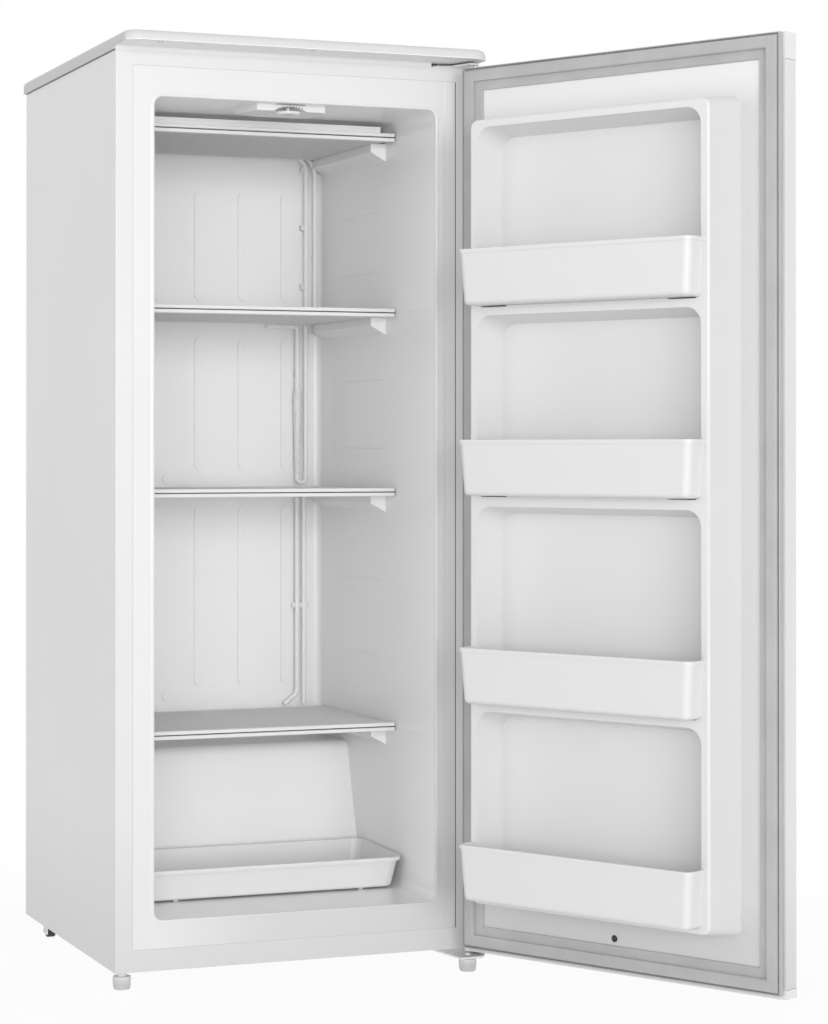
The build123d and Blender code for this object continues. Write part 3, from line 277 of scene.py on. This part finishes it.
start, place = begin("white_liner")
waves = noise(stretched(place, 1.0, 1.0, 0.5), 14.0, 2.0, 0.4)
skin = noise(place, 700.0, 2.0)
cloud = noise(place, 3.0, 2.0)
soft_cloud = ramp(cloud, (0.3, 0.0), (0.7, 1.0))
inside = ramp(along(place, 1) * (1 / RIM_DEPTH), (0.1, 0.0), (1.0, 1.0))
hinge_side = ramp(along(place, 0) + MOUTH_REACH, (0.02, 0.0), (0.2, 1.0))
on_rim = ramp(along(place, 1) + 0.01, (0.004, 0.0), (0.009, 1.0))
low_down = ramp(along(place, 2), (0.06, 1.0), (LINER_SHADE_HEIGHT, 0.0))
unshaded_sheet = blend(soft_cloud, grey(0.775, 0.001), grey(0.80))
# painted shade on the rim, greyest low down at the hinge side beside the door
shaded_rim_sheet = blend(hinge_side * on_rim * low_down * 0.7, unshaded_sheet, grey(0.60, 0.002))
above_flange = (depth_when_shut(place) - (FLANGE_DEPTH - 0.002)) * 100.0
on_flange = ramp(above_flange, (0.05, 0.0), (0.15, 1.0), (0.25, 1.0), (0.35, 0.0))
share_up = along(place, 2) * (1 / SHARE_OF)
# painted light and shade on the door's flat edge: lightest along the top, greyest along the bottom
painted_flange_light = ramp(share_up, (0.075, 0.655), (0.11, 0.716), (0.90, 0.716), (0.93, 0.86))
outer_sheet = blend(on_flange, shaded_rim_sheet, painted_flange_light)
# painted light: the food space's walls are painted lighter than the rim and the door's sheet
inner_sheet = blend(soft_cloud, grey(0.915, 0.001), grey(0.93))
close(start, {
    "Base Color": blend(inside, outer_sheet, inner_sheet),
    "Roughness": 0.28 + 0.10 * cloud,
    "Coat Weight": 0.2,
    "Coat Roughness": 0.2,
    "Normal": bump(waves + 0.04 * skin, 0.0008, 0.4),
})
print("white liner has", len(start.tree.nodes), "nodes")

# %% [markdown]
# ## Moulded white plastics
# The bins and the tray are moulded in hard bright plastic, and the trims, caps and thermostat box in a
# duller one. They differ only in gloss, grain and tone, so one function makes them. The faint streaks are
# where the melt ran along the mould: they show in the gloss, and hardly in the colour.
# %% Moulded white plastics
LOW_GREY_HEIGHT = 0.03  # plastic this near to the floor is darker


def moulded(slot, tone, gloss_low, gloss_high, grain, coat):
    """Make a moulded plastic. Its roughness lies between gloss_low and gloss_high."""
    start, place = begin(slot)
    flow = noise(stretched(place, 0.4, 0.4, 2.0), 9.0, 1.0, 0.4)
    texture = noise(place, grain, 1.0)
    clean = blend(flow, grey(tone - 0.004, 0.001), grey(tone + 0.004))
    low = ramp(along(place, 2) * (1 / LOW_GREY_HEIGHT), (0.3, 0.6), (1.0, 0.0))
    close(start, {
        "Base Color": blend(low, clean, grey(0.42, 0.004)),
        "Roughness": gloss_low + (gloss_high - gloss_low) * flow,
        "Coat Weight": coat,
        "Coat Roughness": 0.15,
        "Normal": bump(texture, 0.0001, 0.3),
    })
    print(slot, "has", len(start.tree.nodes), "nodes")


moulded("bin_plastic", 0.79, 0.36, 0.40, 600.0, 0.05)
moulded("white_plastic", 0.82, 0.38, 0.46, 900.0, 0.0)
moulded("grey_plastic", 0.50, 0.42, 0.52, 800.0, 0.0)

# %% [markdown]
# ## The top cover
# The cover is a wide flat moulding with a fine grain. Its rounded upper edge and its top are painted
# greyer than its front, and its two ends are painted greyer still: both are painted shade. Height alone
# tells the top from the front, and the distance from the middle tells the ends.
# %% The top cover's plastic
COVER_SHOULDER = 1.465  # where the upright front begins to round over
COVER_END = 0.299

start, place = begin("white_top")
grain = noise(place, 1100.0, 1.0)
cloud = noise(place, 4.0, 3.0)
shaded_top = ramp((along(place, 2) - COVER_SHOULDER) * 100.0, (0.0, 0.0), (0.1, 1.0))
sideways = start.math("ABSOLUTE", along(place, 0), 0.0)
shaded_ends = ramp((sideways - COVER_END) * 100.0, (0.0, 0.0), (0.3, 1.0))
# painted shade: the top and the ends are painted greyer than the front
front_and_shaded_top = blend(shaded_top, blend(cloud, grey(0.85, 0.002), grey(0.87)), grey(0.70))
close(start, {
    "Base Color": blend(shaded_ends, front_and_shaded_top, grey(0.58)),
    "Roughness": 0.36 + 0.1 * cloud,
    "Coat Weight": 0.05,
    "Normal": bump(grain, 0.0001, 0.35),
})
print("top cover has", len(start.tree.nodes), "nodes")

# %% [markdown]
# ## Coated wire and tube
# The shelves are bare refrigerant tube and wire under a thick white coat. The coat rounds each weld and
# leaves tiny beads, so a coarser bump, and painted shade that greys the hollows, tell it from plastic.
# %% Coated wire
start, place = begin("white_wire")
beads = noise(place, 260.0, 3.0, 0.6)
frosty = noise(place, 40.0, 2.0)
close(start, {
    "Base Color": blend(ramp(beads, (0.3, 0.0), (0.6, 1.0)), grey(0.88, 0.003), grey(0.93)),
    "Roughness": 0.34 + 0.16 * frosty,
    "Normal": bump(beads, 0.0001, 0.3),
})
print("coated wire has", len(start.tree.nodes), "nodes")

# %% [markdown]
# ## Grey gasket
# The seal is soft grey vinyl, drawn out of a die in one long strip, so all its marks run along it. On
# the upright runs that is up and down, and on the cross runs it is across. A noise drawn out along one
# axis would be wrong on half of the ring, so the strip's lines are left to its real profile, further
# down, and the finish is the bloom that soft vinyl gets: cloudy patches, a little lighter and duller.
# %% Grey gasket
start, place = begin("grey_rubber")
bloom = noise(place, 16.0, 4.0, 0.6)
pores = noise(place, 1500.0, 1.0)
close(start, {
    "Base Color": blend(ramp(bloom, (0.3, 0.0), (0.75, 1.0)), grey(0.455, -0.004), grey(0.52, -0.002)),
    "Roughness": 0.42 + 0.2 * bloom,
    "Normal": bump(pores + bloom, 0.00015, 0.35),
})
print("grey gasket has", len(start.tree.nodes), "nodes")

# %% [markdown]
# ## Dark plastics, rubber and black enamel
# Under the cabinet and in the compressor's bay the finishes are dark. Dark surfaces show dust first, so
# each one mixes a pale dust over its own colour, more on some patches than on others.
# %% Dark finishes
def dark(slot, tone, gloss, grain, dust, coat=0.0):
    """Make a dark finish. Dust is the share of pale dust on its dustiest patches."""
    start, place = begin(slot)
    patches = noise(place, 18.0, 4.0, 0.65)
    texture = noise(place, grain, 2.0)
    close(start, {
        "Base Color": blend(ramp(patches, (0.42, 0.0), (0.8, 1.0)) * dust, grey(tone), grey(0.30, 0.01)),
        "Roughness": gloss + 0.3 * patches,
        "Coat Weight": coat,
        "Coat Roughness": 0.1,
        "Normal": bump(texture, 0.0002, 0.4),
    })
    print(slot, "has", len(start.tree.nodes), "nodes")


dark("dark_plastic", 0.022, 0.38, 700.0, 0.25)
dark("black_rubber", 0.018, 0.62, 1200.0, 0.4)
dark("black_enamel", 0.012, 0.18, 300.0, 0.3, coat=0.5)

# %% [markdown]
# ## Bare metals
# Zinc grows in flat crystals on hot-dipped sheet, and each one shines its own way: a Voronoi texture
# gives every cell a value of its own. Screws and pins have a brighter electroplate with fine turning
# lines, and copper tube goes brown where it was brazed.
# %% Bare metals
start, place = begin("grey_steel")
spangle = place.node("ShaderNodeTexVoronoi", {}, {"Vector": place, "Scale": 95.0}, output="Color")
cell = spangle.node("ShaderNodeSeparateXYZ", {}, {0: spangle})
stain = noise(place, 7.0, 4.0, 0.6)
close(start, {
    "Base Color": blend(cell, grey(0.66, -0.004), grey(0.76, -0.004)),
    "Metallic": 0.85,
    "Roughness": 0.32 + 0.16 * cell + 0.14 * stain,
    "Normal": bump(cell, 0.00006, 0.3),
})

start, place = begin("bright_steel")
turned = noise(stretched(place, 1.0, 1.0, 12.0), 260.0, 3.0, 0.6)
close(start, {
    "Base Color": blend(turned, grey(0.52), grey(0.68, 0.004)),
    "Metallic": 1.0,
    "Roughness": 0.22 + 0.2 * turned,
    "Normal": bump(turned, 0.00008, 0.3),
})

NEW_COPPER, OLD_COPPER = (0.62, 0.26, 0.13, 1.0), (0.28, 0.11, 0.06, 1.0)

start, place = begin("copper")
tarnish = noise(place, 30.0, 4.0, 0.6)
close(start, {
    "Base Color": blend(ramp(tarnish, (0.4, 0.0), (0.7, 1.0)), NEW_COPPER, OLD_COPPER),
    "Metallic": 1.0,
    "Roughness": 0.22 + 0.3 * tarnish,
    "Normal": bump(tarnish, 0.0001, 0.3),
})
print("three metals:", ["grey_steel", "bright_steel", "copper"])

# %% [markdown]
# ## Foam
# The insulation is out of sight between steel and liner, but a cut or an exploded view shows it: cream
# polyurethane foam with fine cells.
# %% Foam
start, place = begin("foam")
cells = place.node("ShaderNodeTexVoronoi", {}, {"Vector": place, "Scale": 900.0})
shade = noise(place, 8.0, 3.0)
close(start, {
    "Base Color": blend(shade, (0.80, 0.66, 0.36, 1.0), (0.88, 0.78, 0.50, 1.0)),
    "Roughness": 0.75 + 0.2 * shade,
    "Normal": bump(cells, 0.0004, 0.6),
})
print("foam has", len(start.tree.nodes), "nodes")

# %% [markdown]
# ## Give each piece its finish
# The record that came with the model says which finish each piece takes. Reading it here means that no
# list of pieces is written twice.
# %% Assign the finishes
def wear(piece, slot):
    """Give a piece one finish over all its faces."""
    piece.data.materials.clear()
    piece.data.materials.append(finishes[slot])


for subpart in frame["record"]["subparts"]:
    wear(nodes[subpart["node"]], subpart["material_slot"])

# %% [markdown]
# ## Pieces made here
# Every form that this script adds is made in the same steps: draw its mesh, move it to where it hangs,
# smooth it, give it a finish, and let it ride on the body that carries it.
# %% Make a new piece
def new_piece(name, mesh_maker, slot, body, pose=None, smooth_angle=40.0):
    """Make a mesh object from a bmesh function, dress it and let it ride on a body."""
    mesh = bpy.data.meshes.new(name)
    form = bmesh.new()
    mesh_maker(form)
    bmesh.ops.recalc_face_normals(form, faces=form.faces)
    form.to_mesh(mesh)
    form.free()
    if pose is not None:
        mesh.transform(pose)
    piece = bpy.data.objects.new(name, mesh)
    bpy.context.scene.collection.objects.link(piece)
    soften(piece, smooth_angle)
    wear(piece, slot)
    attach(piece, body)
    return piece


def soften(piece, angle):
    """Smooth shading, but for edges sharper than an angle in degrees."""
    piece.data.shade_smooth()
    piece.data.set_sharp_from_angle(angle=math.radians(angle))


# %% [markdown]
# ## Two ways to draw a strip
# Nearly all the small forms here are strips. Some go round the whole opening as a closed loop, like the
# gasket, and others run straight from one place to another, like a seam. A curve with a bevel could make
# both, but its corners bulge where the real ones are mitred, so both are skinned point by point.
# %% Loops and beads
def skin_loops(form, loops):
    """Join closed loops of points with faces, the last one to the first."""
    rings = [[form.verts.new(point) for point in loop] for loop in loops]
    for ring, following in zip(rings, rings[1:] + rings[:1]):
        for i in range(len(ring)):
            j = (i + 1) % len(ring)
            form.faces.new((ring[i], ring[j], following[j], following[i]))


BEAD_SIDES = 6


def bead(form, start, end, out, width, rise):
    """A low rounded strip between two points. It stands proud towards out."""
    start, end, out = Vector(start), Vector(end), Vector(out).normalized()
    side = (end - start).cross(out).normalized()
    arch = []
    for i in range(BEAD_SIDES + 1):
        angle = math.pi * i / BEAD_SIDES
        arch.append(side * (math.cos(angle) * width / 2) + out * (math.sin(angle) * rise))
    near = [form.verts.new(start + offset) for offset in arch]
    far = [form.verts.new(end + offset) for offset in arch]
    for i in range(BEAD_SIDES):
        form.faces.new((near[i], near[i + 1], far[i + 1], far[i]))
    form.faces.new((near[-1], near[0], far[0], far[-1]))
    form.faces.new(near[::-1])
    form.faces.new(far)


print("a bead has", BEAD_SIDES + 3, "faces")

# %% [markdown]
# ## The gasket
# The real seal is an extrusion: a flat lip that grips the liner, a round bulb with the magnet in it, a
# bellows beside the bulb that lets it stretch to the cabinet, and a thin fin outside. A profile drawn
# once and carried round the door's four sides gives all of these at once, with a mitre at each corner
# where the real strips are welded.
# %% The gasket's profile
GASKET_HALF = 0.2965
GASKET_BACK = -0.012  # its foot, on the door liner
PROFILE = [  # (how far in from the outer edge, how far up from the foot), in millimetres
    (0.0, 0.0), (0.0, 8.2), (0.5, 8.6), (1.4, 8.5), (1.9, 7.6), (2.0, 3.2),
    (2.7, 2.4), (3.4, 3.0), (4.2, 4.4), (4.1, 7.2), (4.4, 9.6), (5.2, 11.0), (6.6, 11.6), (9.0, 11.7),
    (18.6, 11.7), (20.8, 11.5), (22.2, 10.6), (22.9, 9.2), (23.0, 6.8), (22.4, 5.2), (22.8, 4.5),
    (24.2, 4.3), (35.2, 4.3), (36.8, 3.8), (37.5, 2.6), (37.5, 0.0),
]
gasket_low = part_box("door_gasket")[0][2]
gasket_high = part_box("door_gasket")[1][2]


def gasket_loops(form):
    """Carry each point of the profile round the four sides."""
    loops = []
    for inset, height in PROFILE:
        reach = inset / 1000
        depth = GASKET_BACK + height / 1000
        half = GASKET_HALF - reach
        low, high = gasket_low + reach, gasket_high - reach
        loops.append([(-half, depth, low), (half, depth, low), (half, depth, high), (-half, depth, high)])
    skin_loops(form, loops)


gasket = new_piece("gasket_strip", gasket_loops, "grey_rubber", "door", door_pose, 50.0)
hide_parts("door_gasket")
print("gasket faces:", len(gasket.data.polygons))

# %% [markdown]
# ## The mouth's rolled edge
# Where the liner turns from the front into the food space the sheet is drawn over a small radius, and
# that round edge catches the light as one bright line. A solid with a sharp edge has no such line. The
# edge here is a thin closed loop of sheet laid over the corner, with its own small rounding.
# %% The rolled edge
MOUTH_HALF = 0.2375
MOUTH_LOW, MOUTH_HIGH = 0.104, 1.388
MOUTH_CORNER = 0.014
EDGE_PROFILE = [  # (how far outside the mouth, how deep), in millimetres
    (6.0, 0.05), (4.5, -0.25), (2.5, -0.45), (1.0, -0.35), (0.1, 0.1),
    (-0.3, 0.9), (-0.45, 2.2), (-0.35, 3.8), (0.2, 5.2), (0.9, 3.0), (2.5, 0.9),
]
CORNER_STEPS = 8


def rounded_outline(half, low, high, corner, depth):
    """An upright rounded rectangle's points, at one depth."""
    middles = [(1, high - corner), (-1, high - corner), (-1, low + corner), (1, low + corner)]
    points = []
    for quarter, (side, level) in enumerate(middles):
        for i in range(CORNER_STEPS + 1):
            angle = math.pi / 2 * (quarter + i / CORNER_STEPS)
            x = side * (half - corner) + corner * math.cos(angle)
            points.append((x, depth, level + corner * math.sin(angle)))
    return points


def mouth_loops(form):
    """Carry each point of the edge's profile round the mouth."""
    loops = []
    for outside, deep in EDGE_PROFILE:
        grow = outside / 1000
        low, high = MOUTH_LOW - grow, MOUTH_HIGH + grow
        loops.append(rounded_outline(MOUTH_HALF + grow, low, high, MOUTH_CORNER + grow, deep / 1000))
    skin_loops(form, loops)


edge = new_piece("mouth_edge", mouth_loops, "white_liner", "cabinet", None, 60.0)
print("mouth edge faces:", len(edge.data.polygons))

# %% [markdown]
# ## Seams
# Where steel meets plastic the real freezer shows a fine dark line, for the gap goes back to where no
# light comes. In the solids that gap is thinner than a pixel. Each seam is painted shade: a dark bead a
# tenth of a millimetre proud, round the liner, under the cover's sides, and where the caps end on the
# door's edges. The seam at the hinge side is the widest and darkest, because the liner stands off the
# steel there.
# %% Seams of the cabinet and the door
SEAM_PROUD = 0.00012
COVER_SEAM_PROUD = 3 * SEAM_PROUD  # the cover's seam lies in the shade of its lip
SEAM_HALF = 0.2722
SEAM_LOW, SEAM_HIGH = 0.0602, 1.4348
FINE_SEAM = 0.0006
WIDE_SEAM = 0.0014
CABINET_HALF = 0.3
CABINET_DEPTH = 0.568
COVER_SEAM = 1.4573
COVER_SEAM_START = 0.002  # behind the cabinet's front
DOOR_SEAMS = (1.412, 0.043)
DOOR_EDGE = (-0.0425, -0.0145)  # from the skin's round front corner to its back
FRONT = (0, -1, 0)


def liner_seam_beads(form):
    """The fine seam round the liner, but for the hinge side."""
    bead(form, (-SEAM_HALF, 0, SEAM_LOW), (-SEAM_HALF, 0, SEAM_HIGH), FRONT, FINE_SEAM, SEAM_PROUD)
    for z in (SEAM_LOW, SEAM_HIGH):
        bead(form, (-SEAM_HALF, 0, z), (SEAM_HALF, 0, z), FRONT, FINE_SEAM, SEAM_PROUD)


def open_seam_beads(form):
    """The wide seam at the hinge side, and the two under the cover's sides."""
    bead(form, (SEAM_HALF, 0, SEAM_LOW), (SEAM_HALF, 0, SEAM_HIGH), FRONT, WIDE_SEAM, SEAM_PROUD)
    for side in (-1, 1):
        x = side * CABINET_HALF
        start, end = (x, COVER_SEAM_START, COVER_SEAM), (x, CABINET_DEPTH, COVER_SEAM)
        bead(form, start, end, (side, 0, 0), WIDE_SEAM, COVER_SEAM_PROUD)


def door_seam_beads(form):
    """The seams on the door's two edges, where its caps end."""
    front, back = DOOR_EDGE
    for side in (-1, 1):
        x = side * CABINET_HALF
        for z in DOOR_SEAMS:
            bead(form, (x, front, z), (x, back, z), (side, 0, 0), FINE_SEAM, SEAM_PROUD)


new_piece("liner_seams", liner_seam_beads, "grey_plastic", "cabinet")
new_piece("open_seams", open_seam_beads, "dark_plastic", "cabinet")
new_piece("door_seams", door_seam_beads, "dark_plastic", "door", door_pose)
print("seams at heights:", [SEAM_LOW, SEAM_HIGH, COVER_SEAM, *DOOR_SEAMS])

# %% [markdown]
# ## Shadow lines in the trims
# Each shelf has a white bar along its front with a groove in it. Deep in the groove, and at the bar's two
# ends, a dark strip shows. The heights come from the shelves' own boxes, so the strips follow a shelf.
# %% Strips in the trims' grooves
GROOVE_FLOOR = 0.0029  # behind the bar's face
GROOVE_WIDTH, GROOVE_RISE = 0.0016, 0.0002
END_INSET = 0.0006  # from the bar's end to the middle of the strip there
END_FLOOR = 0.0014  # behind the bar's face
END_WIDTH, END_RISE = 0.0011, 0.0016
TRIM_HALF_HEIGHT = 0.0066
trims_low, trims_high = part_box("shelf_trims")
shelf_levels = []
for number in range(1, 5):
    shelf_low, shelf_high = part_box(f"evaporator_shelf_{number}")
    shelf_levels.append((shelf_low[2] + shelf_high[2]) / 2)


def groove_beads(form):
    """One strip along each groove, and one upright strip at each end of the bar."""
    face = trims_low[1]
    left, right = trims_low[0], trims_high[0]
    depth, end_depth = face + GROOVE_FLOOR, face + END_FLOOR
    for level in shelf_levels:
        bead(form, (left, depth, level), (right, depth, level), FRONT, GROOVE_WIDTH, GROOVE_RISE)
        foot, head = level - TRIM_HALF_HEIGHT, level + TRIM_HALF_HEIGHT
        for x in (left + END_INSET, right - END_INSET):
            bead(form, (x, end_depth, foot), (x, end_depth, head), FRONT, END_WIDTH, END_RISE)


new_piece("groove_strips", groove_beads, "dark_plastic", "cabinet")
print("shelves at:", [round(level, 4) for level in shelf_levels])

# %% [markdown]
# ## Lines on the side walls
# The mould left faint ridges on the walls, two in each bay and one at each shelf, which runs forward to
# the mouth. The walls draw in towards the back, so the two ends of a ridge lie at different widths.
# %% Ridges on the walls
WALL_DRAW = 12.5 / 510  # how much each wall comes in, for each metre of depth
RIDGE_LEVELS = (1.240, 1.140, 0.955, 0.840, 0.615, 0.487)
BAY_RUN = (0.22, 0.40)  # where a bay's ridge starts and ends, behind the cabinet's front
SHELF_RUN = (0.03, 0.20)
RIDGE_WIDTH = 0.0030
RIDGE_PROUD = 0.0009


def wall_ridges(form):
    """Every ridge, on both walls."""
    runs = [(level, *BAY_RUN) for level in RIDGE_LEVELS]
    runs += [(level, *SHELF_RUN) for level in shelf_levels]
    for level, front, back in runs:
        for side in (-1, 1):
            ends = [(side * (MOUTH_HALF - WALL_DRAW * depth), depth, level) for depth in (front, back)]
            bead(form, *ends, (-side, 0, 0), RIDGE_WIDTH, RIDGE_PROUD)


new_piece("wall_ridges", wall_ridges, "white_liner", "cabinet")
print("ridges:", 2 * (len(RIDGE_LEVELS) + len(shelf_levels)))

# %% [markdown]
# ## The wrap on the tube
# At the left tube of the second bay the fitter wound soft white tape over the joint, thick at the top and
# thin below. Tape wound by hand is never even, so a few sine waves of different lengths crease it. They
# look random and come out the same each time.
# %% The crinkled wrap
WRAP_FOOT, WRAP_HEAD = 0.0048, 0.0078  # radii
TUBE_RADIUS = 0.004
CREASE = 0.0004  # how far a crease stands proud of the round wrap
WRAP_RINGS = 60
WRAP_SIDES = 24
wrap_low, wrap_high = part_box("tube_wrap")
wrap_x = (wrap_low[0] + wrap_high[0]) / 2
wrap_y = (wrap_low[1] + wrap_high[1]) / 2


def wrap_ring(radius, share, crease):
    """A ring of the wrap, share of the way up."""
    points = []
    for i in range(WRAP_SIDES):
        angle = 2 * math.pi * i / WRAP_SIDES
        fold = math.sin(5 * angle + 9 * share) * math.sin(31 * share) + math.sin(2 * angle - 47 * share)
        reach = radius + crease * fold
        height = wrap_low[2] + (wrap_high[2] - wrap_low[2]) * share
        points.append((wrap_x + reach * math.cos(angle), wrap_y + reach * math.sin(angle), height))
    return points


def wrap_loops(form):
    """The wrap from its foot to its head, closed onto the tube at both ends."""
    loops = [wrap_ring(TUBE_RADIUS, 0, 0)]
    for i in range(WRAP_RINGS + 1):
        share = i / WRAP_RINGS
        loops.append(wrap_ring(WRAP_FOOT + (WRAP_HEAD - WRAP_FOOT) * share, share, CREASE))
    loops.append(wrap_ring(TUBE_RADIUS, 1, 0))
    skin_loops(form, loops)


wrap = new_piece("crinkled_wrap", wrap_loops, "white_plastic", "cabinet", None, 60.0)
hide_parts("tube_wrap")
print("wrap faces:", len(wrap.data.polygons))

# %% [markdown]
# ## Marks by the dial
# The thermostat's dial turns under an arch in its box. Small dark marks follow the arch and grow as they
# go, and a thin dark line of painted shade runs along the arch's edge. Each is a bead a tenth of a
# millimetre proud of the box.
# %% The dial's marks
DIAL_X = -0.004
HOUSING_FACE = 0.025
ARCH_CENTRE = 1.32894  # height of the middle of the arch's circle
ARCH_RADIUS = 0.05527
ARCH_REACH = math.radians(28)
ARCH_STEPS = 16
ARCH_LINE_OUT, ARCH_LINE_WIDTH = 0.0003, 0.0005
MARKS = 9
MARK_REACH = math.radians(21)
MARK_OUT, MARK_WIDTH = 0.0012, 0.0008
FIRST_MARK, MARK_GROWTH = 0.0012, 0.00012  # length, and how much longer each next one is
MARK_RISE = 0.0001


def on_arch(angle, radius):
    """A place on the box's face, at an angle from upright."""
    return (DIAL_X + radius * math.sin(angle), HOUSING_FACE, ARCH_CENTRE + radius * math.cos(angle))


def dial_mark_beads(form):
    """The marks, and the thin line along the arch."""
    for i in range(MARKS):
        angle = MARK_REACH * (2 * i / (MARKS - 1) - 1)
        length = FIRST_MARK + MARK_GROWTH * i
        foot = ARCH_RADIUS + MARK_OUT
        bead(form, on_arch(angle, foot), on_arch(angle, foot + length), FRONT, MARK_WIDTH, MARK_RISE)
    for i in range(ARCH_STEPS):
        angles = [ARCH_REACH * (2 * k / ARCH_STEPS - 1) for k in (i, i + 1)]
        ends = [on_arch(angle, ARCH_RADIUS + ARCH_LINE_OUT) for angle in angles]
        bead(form, *ends, FRONT, ARCH_LINE_WIDTH, MARK_RISE)


new_piece("dial_marks", dial_mark_beads, "dark_plastic", "cabinet")
print("dial marks:", MARKS)

# %% [markdown]
# ## Ribs on the feet
# The front feet are turned by hand from below, so their rims are ribbed for grip. Each foot turns with
# its own screw, and its ribs must turn with it: they ride on the foot.
# %% The feet's ribs
FOOT_RIBS = 36
RIB_LEVELS = (0.003, 0.0158)
RIB_REACH = (0.9145, 0.9985)  # the pad's radius at those heights, as a share of the whole
RIB_WIDTH, RIB_PROUD = 0.0011, 0.0005


def foot_ribs(node):
    """Return the function that draws the ribs round one foot."""
    low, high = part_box(node)
    x, y = (low[0] + high[0]) / 2, (low[1] + high[1]) / 2
    radius = (high[0] - low[0]) / 2

    def ribs(form):
        for i in range(FOOT_RIBS):
            angle = 2 * math.pi * i / FOOT_RIBS
            out = (math.cos(angle), math.sin(angle), 0)
            ends = []
            for level, share in zip(RIB_LEVELS, RIB_REACH):
                ends.append((x + radius * share * out[0], y + radius * share * out[1], level))
            bead(form, *ends, out, RIB_WIDTH, RIB_PROUD)

    return ribs


for side in ("left", "right"):
    new_piece(f"{side}_foot_ribs", foot_ribs(f"front_{side}_foot"), "white_plastic", f"{side}_foot")
print("ribs on each foot:", FOOT_RIBS)

# %% [markdown]
# ## Floor, backdrop and light
# A product is photographed on a white sweep under large, far lamps. The floor here is a plain disc. The
# camera, and whatever mirrors it, sees white that lets a little of the true shadow through close to the
# freezer. The world is white to them too, and a quieter grey as a light, so that white paint keeps its
# shape and doesn't burn out.
# %% Floor and world
FLOOR_RADIUS = 14.0
FLOOR_DROP = 0.0005  # the floor lies this far under the feet, so that no faces share a plane
SHADOW_FROM, SHADOW_TO = 0.7, 1.5  # metres from the origin: the shadow fades out between them
SHADOW_WHITE = 0.93  # how much of the near floor is plain white
WORLD_LIGHT = 0.628


def seen_directly(start):
    """1 for the camera and for mirrored or refracted views, 0 for light that falls on the object."""
    path = "ShaderNodeLightPath"
    camera_view = start.node(path, output="Is Camera Ray")
    mirrored = start.node(path, output="Is Glossy Ray")
    refracted = start.node(path, output="Is Transmission Ray")
    return start.math("MINIMUM", camera_view + mirrored + refracted, 1.0)


def floor_disc():
    """A flat disc with one face."""
    mesh = bpy.data.meshes.new("studio_floor")
    form = bmesh.new()
    bmesh.ops.create_circle(form, cap_ends=True, segments=96, radius=FLOOR_RADIUS)
    form.to_mesh(mesh)
    form.free()
    return mesh


start, place = begin("studio_floor")
away = place.node("ShaderNodeVectorMath", {"operation": "LENGTH"}, {0: place}, output="Value")
near, far = SHADOW_FROM / FLOOR_RADIUS, SHADOW_TO / FLOOR_RADIUS
white = ramp(away * (1 / FLOOR_RADIUS), (near, SHADOW_WHITE), (far, 1.0))
paper = start.node("ShaderNodeBsdfDiffuse", {}, {"Color": grey(0.93)})
glow = start.node("ShaderNodeEmission", {}, {"Color": grey(1.0), "Strength": 1.0})
surface = start.node("ShaderNodeMixShader", {}, {0: seen_directly(start) * white, 1: paper, 2: glow})
out = start.tree.nodes.new("ShaderNodeOutputMaterial")
start.tree.links.new(surface.socket, out.inputs["Surface"])

floor = bpy.data.objects.new("studio_floor", floor_disc())
floor.location.z = -FLOOR_DROP
floor.data.materials.append(finishes["studio_floor"])
bpy.context.scene.collection.objects.link(floor)

world = bpy.data.worlds.new("studio")
bpy.context.scene.world = world
world.use_nodes = True
world.node_tree.nodes.clear()
start = Signal(world.node_tree)
strength = WORLD_LIGHT + (1.0 - WORLD_LIGHT) * seen_directly(start)
sky = start.node("ShaderNodeBackground", {}, {"Color": (1.0, 1.0, 1.0, 1.0), "Strength": strength})
out = start.tree.nodes.new("ShaderNodeOutputWorld")
start.tree.links.new(sky.socket, out.inputs["Surface"])
print("world light:", WORLD_LIGHT)

# %% [markdown]
# ## The lamps
# Three broad lamps stand ten metres off, as in a large studio. From so far the light is as strong on the
# door's near edge as at the back of the cabinet. Two are in front, one straight ahead and one where the
# photographer stood, and they reach into the cabinet. A weak one at the left fills the side and the bins.
# %% Lamps
LAMP_DISTANCE = 10.0
LAMP_AIM = Vector((0.0, 0.0, 0.75))


def soft_lamp(name, heading, height, size, power):
    """A square lamp. Heading is its angle to the right of straight in front, height above level."""
    lamp = bpy.data.lights.new(name, "AREA")
    lamp.shape = "SQUARE"
    lamp.size = size
    lamp.energy = power
    heading, height = math.radians(heading), math.radians(height)
    level = math.cos(height)
    away = Vector((math.sin(heading) * level, -math.cos(heading) * level, math.sin(height)))
    holder = bpy.data.objects.new(name, lamp)
    holder.location = LAMP_AIM + LAMP_DISTANCE * away
    holder.rotation_euler = (-away).to_track_quat("-Z", "Y").to_euler()
    bpy.context.scene.collection.objects.link(holder)
    print(name, "watts:", power)


soft_lamp("front_lamp", 0, 6, 3.5, 255.0)
soft_lamp("camera_lamp", -21, 4, 3.0, 175.0)
soft_lamp("left_lamp", -80, 8, 3.5, 70.0)

# %% [markdown]
# ## The end
# The last cell only imports json. The dressed freezer must be as large as its solids, within the little
# that soft pieces may stand proud.
# %% Import json
import json
